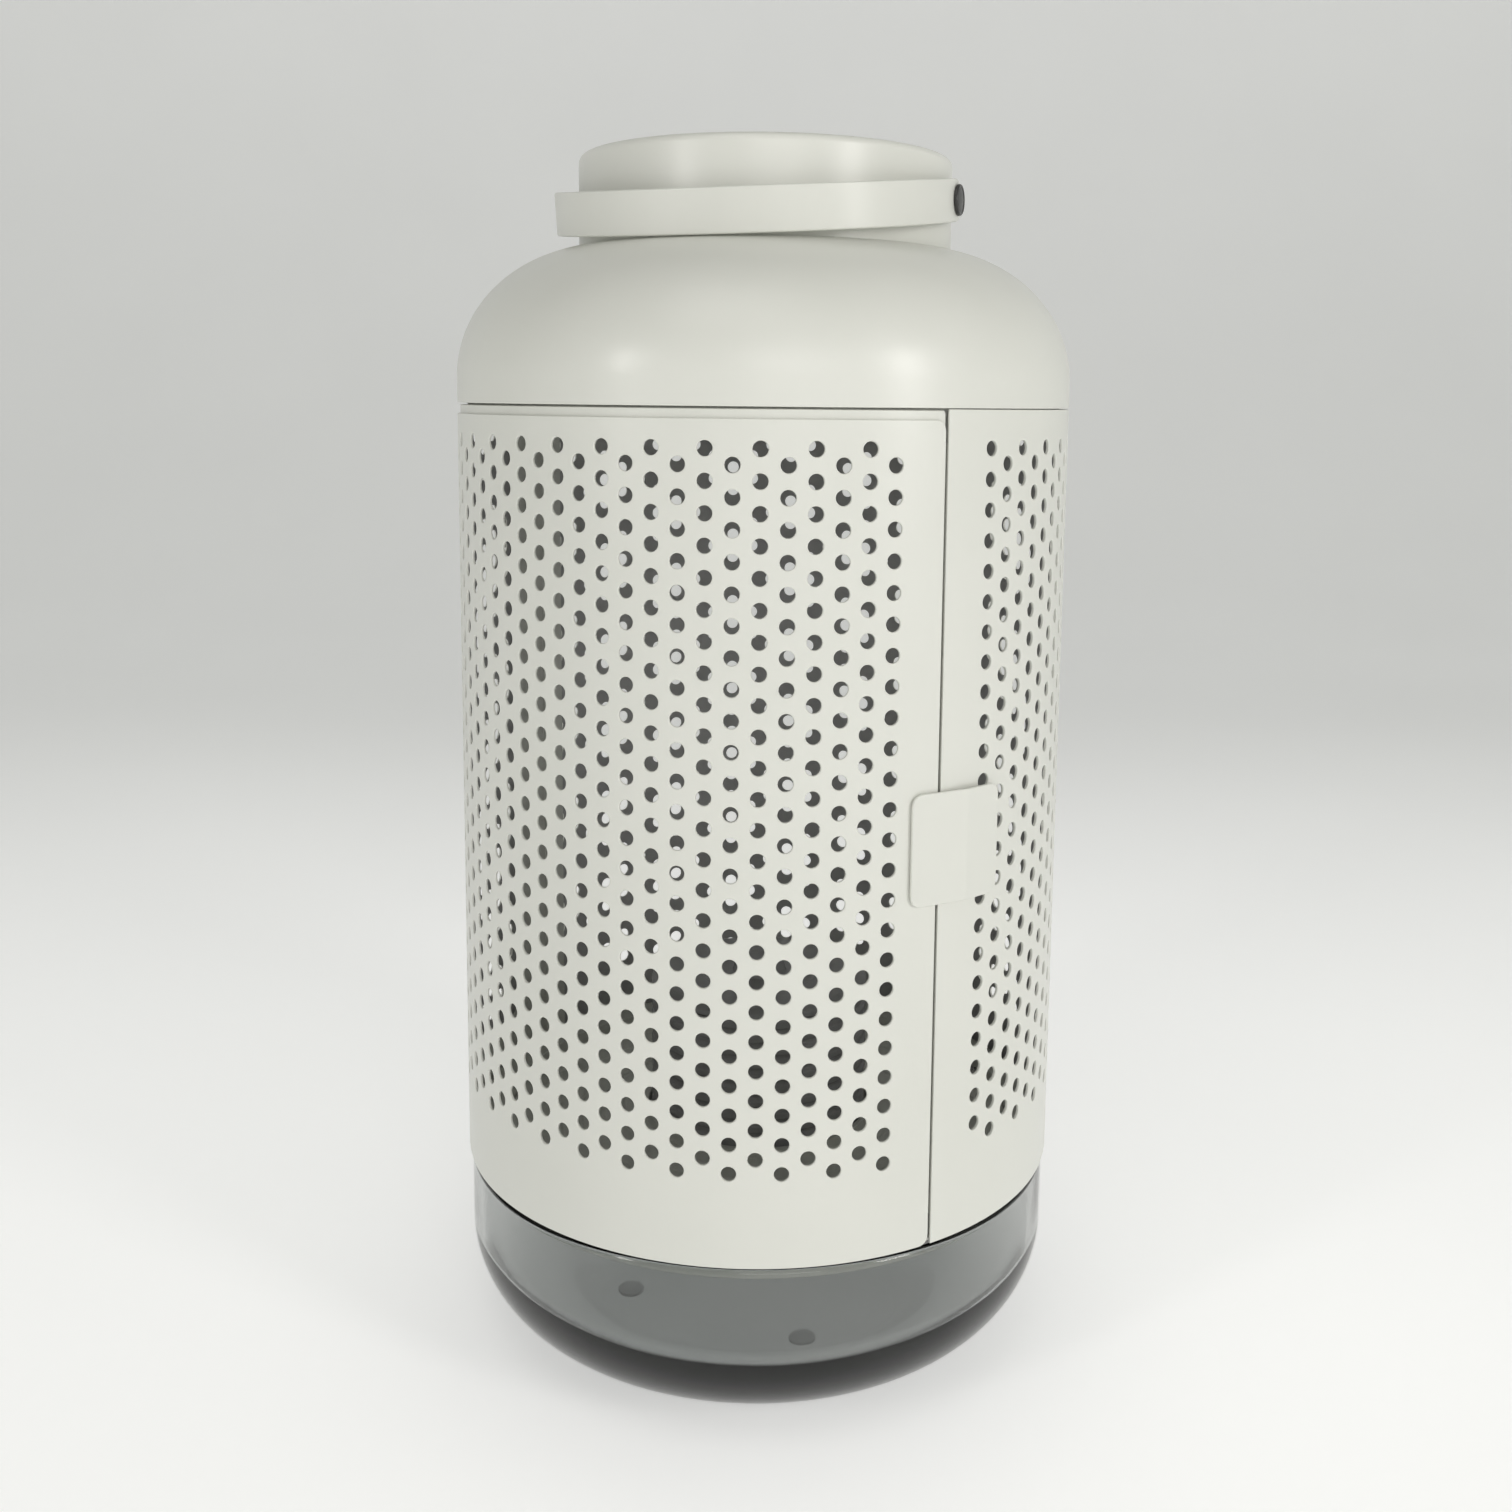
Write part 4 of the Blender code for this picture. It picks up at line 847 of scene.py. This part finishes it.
# ---- hinges
def hinges():
    """Butt hinges at the back edge of the door: leaves, knuckles, leaf screws and pins."""
    near, far, notch = HINGE_BEARING - LEAF_EDGE, HINGE_BEARING - LEAF_SPAN, HINGE_BEARING - LEAF_NOTCH
    door_near, door_far, door_notch = (2.0 * HINGE_BEARING - bearing for bearing in (near, far, notch))
    third, half = KNUCKLE_LENGTH / 2.0, 1.5 * KNUCKLE_LENGTH
    screw = cross_screw(0.0016, 0.0005, 0.0008)
    for place, middle in HINGE_MIDDLES.items():
        low, high = middle - half, middle + half
        body = [(far, low), (near, low), (near, middle - third), (notch, middle - third)]
        body += [(notch, middle + third), (near, middle + third), (near, high), (far, high)]
        leaf(f"hinge_body_leaf_{place}", body)
        inner_low, inner_high = middle - third + 0.0004, middle + third - 0.0004
        side = [(door_far, high), (door_notch, high), (door_notch, inner_high)]
        side += [(door_near, inner_high), (door_near, inner_low)]
        side += [(door_notch, inner_low), (door_notch, low), (door_far, low)]
        leaf(f"hinge_door_leaf_{place}", side)
        for number, node in enumerate(("body", "door", "body"), start=1):
            height = middle + (number - 2) * KNUCKLE_LENGTH
            spot = Matrix.Translation((HINGE_AXIS.x, HINGE_AXIS.y, height))
            reach = (KNUCKLE_LENGTH - GAP) / 2.0
            mesh = turned_ring(0.00122, KNUCKLE_RADIUS, -reach, reach, 0.0002, 32)
            piece(f"knuckle_{place}_{node}_{number}", mesh, f"hinge_{node}_leaf_{place}", place=spot)
        for side, node in ((-1.0, "body"), (1.0, "door")):
            for number, shift in enumerate((-0.0115, 0.0115), start=1):
                spot = outwards(HINGE_BEARING + side * 5.4, LEAF_OUTER, middle + shift)
                name = f"leaf_screw_{place}_{node}_{number}"
                piece(name, screw, f"hinge_{node}_leaf_{place}", ["steel"], place=spot)
        hinge_pin(place, low, high)


def leaf(node, corners):
    outline = [(arc_length(bearing), height) for bearing, height in corners]
    if not turns_left(outline):
        outline.reverse()
    outline = stepped(fillet(outline, 0.0008, 3), LEAF_SPACING)
    mesh = shaped_plate(round_wall(LEAF_OUTER), [outline], 0.0010, 0.0002, LEAF_SPACING)
    stand_in(node, node + "_plate", mesh, own_normals=True)


def hinge_pin(place, low, high):
    cap = 0.0019
    profile = [(0.0, high + 0.0018)]
    profile += arc_points((0.0, high + 0.0006), (cap, 0.0012), 80.0, 0.0, 6)
    profile += [(cap, high + GAP), (0.0011, high + GAP), (0.0011, low - 0.0010), (0.0, low - 0.0010)]
    spot = Matrix.Translation((HINGE_AXIS.x, HINGE_AXIS.y, 0.0))
    mesh = lathe(profile, 24)
    stand_in(f"hinge_pin_{place}", f"hinge_pin_{place}_round", mesh, place=spot)


# ---- head
def head():
    shoulder()
    neck()
    grille()
    button()
    inlet()


def shoulder():
    """Dome from the neck hole down to its straight edge, with the inlet's hole at the back."""
    bend, depth, rise, wall, hole = 0.3595, 0.0518, 0.0471, 0.0020, 0.0686
    centre = (BODY_RADIUS - depth, bend)

    def line(offset, count):
        radii = (depth - offset, rise - offset)
        start = math.degrees(math.acos((hole - centre[0]) / radii[0]))
        return arc_points(centre, radii, start, 0.0, count)

    outer, inner = line(0.0, 44), line(wall, 30)
    low = heights("shoulder_cover")[0]
    bottom = [(BODY_RADIUS, low), (BODY_RADIUS - wall, low)]
    edge = fillet([outer[-1], *bottom, inner[-1]], SOFT, closed=False)
    mesh = lathe(outer[:-1] + edge + inner[-2::-1])
    cutter = lathe([(0.0, 0.006), (0.0042, 0.006), (0.0042, -0.006), (0.0, -0.006)], 32)
    cutter.transform(outwards(180.0, BODY_RADIUS, INLET_HEIGHT))
    stand_in("shoulder_cover", "domed_shoulder", cut_by(mesh, cutter), ["paint"])


def neck():
    """Neck tube with a soft rim, the stop flange under the shoulder and the grille's ledge."""
    low, high = heights("neck_ring")
    rim = 0.0028
    ledge_high = GRILLE_HEIGHTS[0] - GAP
    ledge_low = ledge_high - 0.0020
    profile = arc_points((NECK_INNER + 0.0005, high - 0.0005), (0.0005, 0.0005), 180.0, 90.0, 3)[:-1]
    profile += arc_points((NECK_RADIUS - rim, high - rim), (rim, rim), 100.0, 0.0, 10)[1:]
    profile += [(NECK_RADIUS, 0.3985), (0.0740, 0.3985), (0.0740, 0.3960), (NECK_RADIUS, 0.3960)]
    profile += [(NECK_RADIUS, low), (NECK_INNER, low), (NECK_INNER, ledge_low)]
    ledge = NECK_INNER - 0.0027
    profile += [(ledge, ledge_low), (ledge, ledge_high), (NECK_INNER, ledge_high)]
    stand_in("neck_ring", "neck_tube", lathe(profile), ["paint"])


def slot_outline(bearing, inner, outer, narrow, wide):
    """One radial slot that widens outwards, with rounded ends, clockwise."""
    ends = []
    for radius, width in ((inner, narrow), (outer, wide)):
        half = math.degrees(width / 2.0 / radius)
        ends.append([at_bearing(bearing + side * half, radius)[:2] for side in (-1.0, 1.0)])
    (inner_left, inner_right), (outer_left, outer_right) = ends
    corners = [inner_left, inner_right, outer_right, outer_left]
    radii = [narrow * 0.45, narrow * 0.45, wide * 0.3, wide * 0.3]
    rounded = fillet([tuple(corner) for corner in corners], radii, 4)
    return rounded[::-1] if turns_left(rounded) else rounded


def grille():
    """Level grille with two rings of radial slots."""
    rim = circle((0.0, 0.0), radius_of("outlet_grille"), SMOOTH, clockwise=False)
    loops = [rim, circle((0.0, 0.0), 0.0156, 64)]
    for inner, outer, count in ((0.0225, 0.0400, 24), (0.0430, 0.0605, 36)):
        loops += [slot_outline(bearing, inner, outer, 0.0030, 0.0056) for bearing in around(count)]
    low, high = GRILLE_HEIGHTS
    mesh = shaped_plate(level_plate(high), loops, high - low, 0.0005)
    stand_in("outlet_grille", "slotted_grille", mesh, own_normals=True)


def button():
    """Dished push button in its light ring, and the switch under it."""
    low = GRILLE_HEIGHTS[0]
    ring = turned_ring(0.0126, 0.0152, low, heights("status_ring")[1], 0.0004, 64)
    stand_in("status_ring", "light_ring", ring)
    top, radius = heights("power_button")[1], radius_of("power_button")
    profile = [(0.0, top - 0.0006), (0.0040, top - 0.0004), (radius * 0.72, top)]
    profile += arc_points((radius - 0.0014, top - 0.0014), (0.0014, 0.0014), 80.0, 0.0, 6)
    profile += [(radius, low + 0.0008), (0.0020, low + 0.0008), (0.0020, low - 0.0005)]
    profile += [(0.0, low - 0.0005)]
    stand_in("power_button", "dished_button", lathe(profile, 64))
    softened("button_switch", "button_switch_body", SOFT, ["black_plastic"])


def inlet():
    """Barrel socket with its centre pin, in the back of the shoulder."""
    depth = 0.0078
    profile = [(0.0, 0.0), (0.0008, -0.0003), (0.0008, -depth), (0.0026, -depth), (0.0026, 0.0)]
    profile += [(0.0038, 0.0), (0.0038, -0.0040), (0.0046, -0.0040), (0.0046, -0.0116), (0.0, -0.0116)]
    radii = [0.0] + [0.0002] * (len(profile) - 2) + [0.0]
    place = outwards(180.0, INLET_SEAT, INLET_HEIGHT)
    stand_in("power_inlet", "barrel_socket", turned_solid(profile, radii, 40), place=place)


# ---- handle
def strap_line():
    """Middle of the strap seen square on, from behind its left pivot round to the right one."""
    side, reach = BAIL_SIDE - BAIL_THICKNESS / 2.0, BAIL_REACH - BAIL_THICKNESS / 2.0
    power, half = 2.0 / BAIL_POWER, BAIL_WIDTH / 2.0
    points = [(-side, half), (-side, half / 2.0)]
    for step in range(361):
        angle = math.radians(180.0 - step / 2.0)
        across = side * math.copysign(abs(math.cos(angle)) ** power, math.cos(angle))
        points.append((across, -reach * max(0.0, math.sin(angle)) ** power))
    return points + [(side, half / 2.0), (side, half)]


def strap_wrap():
    """Wrap for the strap: u is the length along it, v the height over its middle line."""
    line = [Vector((*point, 0.0)) for point in strap_line()]
    lengths = [0.0]
    for here, after in zip(line, line[1:]):
        lengths.append(lengths[-1] + (after - here).length)
    ends = zip(line[:1] + line[:-1], line[1:] + line[-1:])
    tangents = [(after - before).normalized() for before, after in ends]
    turn = turned(PIVOT_BEARING - 90.0) @ turned(BAIL_TILT, "X")
    place = Matrix.Translation((0.0, 0.0, PIVOT_HEIGHT)) @ turn

    def wrap(u, v):
        index = min(max(bisect.bisect(lengths, u) - 1, 0), len(line) - 2)
        share = (u - lengths[index]) / (lengths[index + 1] - lengths[index])
        along = tangents[index].lerp(tangents[index + 1], share).normalized()
        out = along.cross(UP)
        spot = line[index].lerp(line[index + 1], share) + out * (BAIL_THICKNESS / 2.0) + UP * v
        return place @ spot, turn @ out, turn @ along, turn @ UP

    return wrap, lengths[-1]


def handle():
    """Flat strap handle with round ends on pins, bushes and black caps."""
    wrap, length = strap_wrap()
    half = BAIL_WIDTH / 2.0
    outline = arc_points((length - half, 0.0), (half, half), -90.0, 90.0, 16)
    outline += arc_points((half, 0.0), (half, half), 90.0, 270.0, 16)
    outline = stepped(outline, 0.0022)
    loops = [outline] + [circle((along, 0.0), PIN_HOLE, 20) for along in (half, length - half)]
    mesh = shaped_plate(wrap, loops, BAIL_THICKNESS, 0.0007, 0.0022)
    stand_in("bail_handle", "strap_handle", mesh, own_normals=True)
    for number, bearing in enumerate((PIVOT_BEARING, PIVOT_BEARING + 180.0), start=1):
        place = outwards(bearing, 0.0, PIVOT_HEIGHT)
        inner, outer = NECK_INNER - 0.0022, BAIL_SIDE - GAP
        profile = [(0.0, outer), (0.0025, outer), (0.0025, inner), (0.0, inner)]
        pin = turned_solid(profile, SOFT, 32)
        stand_in(f"pivot_pin_{number}", f"pivot_pin_round_{number}", pin, place=place)
        bush = turned_ring(PIN_HOLE, 0.0052, NECK_RADIUS + GAP, NECK_RADIUS + 0.0013, 0.0002, 48)
        stand_in(f"pivot_bush_{number}", f"pivot_bush_round_{number}", bush, place=place)
        inner, outer = BAIL_SIDE + GAP, BAIL_SIDE + 0.0015
        profile = [(0.0, outer), (0.0036, outer - 0.0001), (0.0042, outer - 0.0003)]
        profile += arc_points((0.0049, outer - 0.0006), (0.0006, 0.0006), 90.0, 0.0, 5)
        profile += [(0.0055, inner), (0.0, inner)]
        cap = lathe(profile, 48)
        stand_in(f"pivot_cap_{number}", f"pivot_cap_domed_{number}", cap, place=place)


# ---- filter
def filter_cartridge():
    """Round cartridge: frame with a cross bar, pleated media, seal and pull loop."""
    low, high = heights("filter_frame")
    lip, lip_top, wall = FILTER_RADIUS - 0.0060, low + 0.0020, FILTER_RADIUS - 0.0025
    profile = [(FILTER_RADIUS, high), (FILTER_RADIUS, low), (lip, low), (lip, lip_top)]
    profile += [(wall, lip_top), (wall, high)]
    stand_in("filter_frame", "cartridge_ring", lathe(fillet(profile, 0.0005)))
    bar = block((0.0080, 2.0 * (lip + 0.0010), 0.0018), Matrix.Translation((0.0, 0.0, low + 0.0010)))
    piece("cartridge_bar", bevelled(bar, 0.0005), "filter_frame")
    pleats(wall - 0.0005, lip_top + 0.0004, high - 0.0040)
    seal = turned_ring(0.0860, 0.0915, *heights("filter_seal"), 0.0009)
    stand_in("filter_seal", "cartridge_seal", seal)
    pull_loop(low)


def pleats(radius, low, high):
    """Pleated paper cut to a disc: zigzag underneath, level on top."""
    pitch, fold = 0.0032, 0.0100
    count = int(radius / pitch) * 2
    shape = bmesh.new()
    rows = []
    for index in range(-count, count + 1):
        across = 0.999 * radius * index / count
        half = math.sqrt(max(1e-8, radius ** 2 - across ** 2))
        height = low if index % 2 == 0 else low + fold
        corners = ((-half, high), (-half, height), (half, height), (half, high))
        rows.append([shape.verts.new((x, across, z)) for x, z in corners])
    joined_rows(shape, rows)
    for row in (rows[0], rows[-1]):
        shape.faces.new(row)
    stand_in("filter_media", "pleated_media", mesh_of(shape), sharp=25.0)


def pull_loop(low):
    """Hanging strap loop under the cross bar."""
    top = low - 0.0007
    outer = arc_points((0.0, top), (0.0180, 0.0100), 180.0, 360.0, 32)
    inner = arc_points((0.0, top), (0.0160, 0.0080), 360.0, 180.0, 32)
    shape = bmesh.new()
    ends = [[shape.verts.new((x, y, z)) for x, z in outer + inner] for y in (-0.0040, 0.0040)]
    joined_rows(shape, ends)
    for row in ends:
        back = row[::-1]
        for index in range(len(row) // 2 - 1):
            shape.faces.new((row[index], row[index + 1], back[index + 1], back[index]))
    stand_in("filter_pull", "pull_strap", bevelled(mesh_of(shape), 0.0004, 2))


# ---- canister
def canister():
    """Ribbed cup with a stepped lid and a round knob."""
    (low, high), radius = heights("canister_body"), CANISTER_RADIUS
    inside, groove, pitch = radius - 0.0032, 0.0012, 0.0050
    profile = [(0.0, low + 0.0020), (inside, low + 0.0020), (inside, high), (radius, high)]
    for index in range(9):
        top = high - 0.0030 - index * pitch
        profile += [(radius, top), (radius - groove, top - 0.0008), (radius - groove, top - 0.0020)]
        profile += [(radius, top - 0.0028)]
    profile += [(radius, low), (0.0, low)]
    stand_in("canister_body", "ribbed_canister", turned_solid(profile, 0.0005, 96))
    lid_low, knob_top = heights("canister_lid")
    lid_top = lid_low + 0.0042
    dent = lid_top - 0.0006
    profile = [(0.0, knob_top - 0.0008), (0.0060, knob_top - 0.0006), (0.0085, knob_top)]
    profile += [(0.0092, knob_top - 0.0006), (0.0105, lid_top), (0.0200, lid_top), (0.0208, dent)]
    profile += [(0.0222, dent), (0.0230, lid_top), (radius - 0.0030, lid_top)]
    profile += [(radius, lid_top - 0.0020), (radius, lid_low), (0.0, lid_low)]
    stand_in("canister_lid", "canister_lid_turned", turned_solid(profile, 0.0005, 96))


# ---- fan
def fan():
    """Deck, shroud with its hub and struts, motor, and the impeller seen through the grille."""
    (foot, high), low = heights("fan_deck"), 0.3840
    skirt_inner, skirt_outer = 0.0934, 0.0956
    flange = foot + 0.0018
    profile = [(skirt_outer, high), (skirt_outer, flange), (0.1060, flange), (0.1060, foot)]
    profile += [(skirt_inner, foot), (skirt_inner, low), (0.0580, low), (0.0580, high)]
    stand_in("fan_deck", "fan_deck_turned", lathe(fillet(profile, 0.0006)))
    shroud_low, post_top = heights("fan_housing")
    top, hub_low = 0.4200, MOTOR_HEIGHTS[1] + GAP
    profile = [(0.0605, top), (0.0605, shroud_low + 0.0018), (0.0642, shroud_low + 0.0018)]
    profile += [(0.0642, shroud_low), (0.0585, shroud_low), (0.0585, top)]
    stand_in("fan_housing", "fan_shroud", lathe(fillet(profile, 0.0005)))
    profile = [(0.0, post_top), (0.0050, post_top), (0.0050, top), (0.0200, top), (0.0200, hub_low)]
    piece("fan_hub", turned_solid(profile + [(0.0, hub_low)], 0.0006, 64), "fan_housing")
    start, end = 0.0180, 0.0593
    for number, bearing in enumerate(around(4, 30.0), start=1):
        strut = bevelled(block((0.0032, end - start, top - hub_low - 2.0 * GAP)), 0.0005)
        place = Matrix.Translation(at_bearing(bearing, (start + end) / 2.0, (hub_low + top) / 2.0))
        place = place @ turned(bearing)
        piece(f"fan_strut_{number}", strut, "fan_housing", place=place)
    motor()
    impeller()


def motor():
    low, high = MOTOR_HEIGHTS
    radius = radius_of("fan_motor")
    profile = [(0.0, high), (radius, high), (radius, low + 0.0015), (radius - 0.0015, low)]
    profile += [(SHAFT_HOLE, low), (SHAFT_HOLE, low + 0.0160), (0.0, low + 0.0160)]
    stand_in("fan_motor", "fan_motor_can", turned_solid(profile, SOFT, 64))


def impeller():
    """Cup hub and twisted blades, each a smooth curved plate."""
    low, high = heights("impeller")
    hub, chamfer, floor = 0.0200, 0.0030, low + 0.0022
    profile = [(hub, high), (hub, low + chamfer), (hub - chamfer, low), (SHAFT_HOLE, low)]
    profile += [(SHAFT_HOLE, floor), (hub - 0.0020, floor), (hub - 0.0020, high)]
    stand_in("impeller", "impeller_hub", lathe(fillet(profile, 0.0004), 64))
    root, tip = hub - 0.0012, 0.0565
    for number, first in enumerate(around(7), start=1):
        shape = bmesh.new()
        grid = bmesh.ops.create_grid(shape, x_segments=14, y_segments=8, size=0.5)
        for vert in grid["verts"]:
            along, chord = vert.co.x + 0.5, vert.co.y
            bearing = first + (34.0 - 8.0 * along) * chord + 10.0 * along
            rise = (high - low - 0.0040) * (1.0 - 0.35 * along)
            height = (low + high) / 2.0 + rise * chord
            vert.co = at_bearing(bearing, root + (tip - root) * along, height)
        blade = modified(mesh_of(shape), "SOLIDIFY", thickness=0.0014, offset=0.0)
        blade = bevelled(blade, 0.0004, 2)
        piece(f"impeller_blade_{number}", blade, "impeller")


# ---- the CAD nodes that stay
def dress_the_rest():
    """Every CAD node that is still showing gets its slot's material."""
    for node in ("carbon_mat", "carbon_fill", "control_board", "power_lead", "motor_shaft"):
        item = frame["nodes"][node]
        item.data.materials.clear()
        item.data.materials.append(SHADES[NODE_SLOT[node]])


# ---- studio
def backdrop():
    """Plain pale floor that curves up behind. It glows like a light table, less so far back."""
    shape = bmesh.new()
    profile = [(-FLOOR_SIDE, FLOOR_LEVEL), (FLOOR_START, FLOOR_LEVEL)]
    profile += arc_points((FLOOR_START, FLOOR_BEND), (FLOOR_BEND, FLOOR_BEND), -90.0, 0.0, 16)[1:]
    profile += [(FLOOR_START + FLOOR_BEND, FLOOR_TOP)]
    rows = [[shape.verts.new((side, y, z)) for y, z in profile] for side in (-FLOOR_SIDE, FLOOR_SIDE)]
    joined_rows(shape, rows, closed=False)
    mesh = mesh_of(shape, face_outwards=False)
    mesh.shade_smooth()
    shade = speckled("pale floor", grey(0.87, 0.01), (0.8, 0.9), 3.0, 60.0, 10.0)
    tree = shade.node_tree
    shader = adjusted(tree.nodes["Principled BSDF"], {"Emission_Color": (1.0, 1.0, 0.99, 1.0)})
    axes = made(tree, "SeparateXYZ")
    (start, end), (near, far) = FLOOR_FADE, FLOOR_GLOW
    fade = made(tree, "MapRange", From_Min=start, From_Max=end, To_Min=near, To_Max=far)
    fade.interpolation_type = "SMOOTHSTEP"
    join(made(tree, "TexCoord").outputs["Object"], axes, "Vector")
    join(axes.outputs["Y"], fade, "Value")
    join(fade.outputs["Result"], shader, "Emission Strength")
    mesh.materials.append(shade)
    linked("floor", mesh)


def softbox(name, bearing, elevation, distance, size, power):
    """A rectangular soft light aimed at the head of the purifier."""
    target = Vector(LIGHT_TARGET)
    flat = distance * math.cos(math.radians(elevation))
    place = at_bearing(bearing, flat, distance * math.sin(math.radians(elevation))) + target
    data = bpy.data.lights.new(name, "AREA")
    data.shape, data.energy, data.color = "RECTANGLE", power, (1.0, 0.975, 0.96)
    data.size, data.size_y = size
    lamp = linked(name, data)
    lamp.location = place
    lamp.rotation_euler = (target - place).to_track_quat("-Z", "Y").to_euler()


def studio():
    """The backdrop, the softboxes, and a room that is brighter to the right."""
    backdrop()
    for name, settings in SOFTBOXES.items():
        softbox(name, *settings)
    world = bpy.data.worlds.new("studio")
    bpy.context.scene.world = world
    world.use_nodes = True
    tree = world.node_tree
    room = adjusted(tree.nodes["Background"], {"Color": (0.97, 1.0, 0.93, 1.0)})
    lean = made(tree, "VectorMath")
    lean.operation = "DOT_PRODUCT"
    lean.inputs[1].default_value = at_bearing(ROOM_BRIGHT_BEARING, 1.0)
    join(made(tree, "TexCoord").outputs["Generated"], lean, 0)
    strength = made(tree, "MapRange", From_Min=-1.0, To_Min=ROOM_LIGHT[0], To_Max=ROOM_LIGHT[1])
    join(lean.outputs["Value"], strength, "Value")
    join(strength.outputs["Result"], room, "Strength")


def camera():
    """A little below the head, looking slightly down and a hair to the left."""
    data = bpy.data.cameras.new("camera")
    data.sensor_width, data.lens = CAMERA_SENSOR, CAMERA_LENS
    data.shift_x, data.shift_y = CAMERA_SHIFT
    item = linked("camera", data)
    place = Matrix.Translation(CAMERA_PLACE)
    for angle, axis in CAMERA_TURNS:
        place = place @ turned(angle, axis)
    item.matrix_world = place
    bpy.context.scene.camera = item
    bpy.context.scene.view_settings.view_transform = "Standard"


# ---- build
SHADES = make_shades()
camera()
studio()
base()
screws()
cage()
door()
hinges()
head()
handle()
filter_cartridge()
canister()
fan()
dress_the_rest()
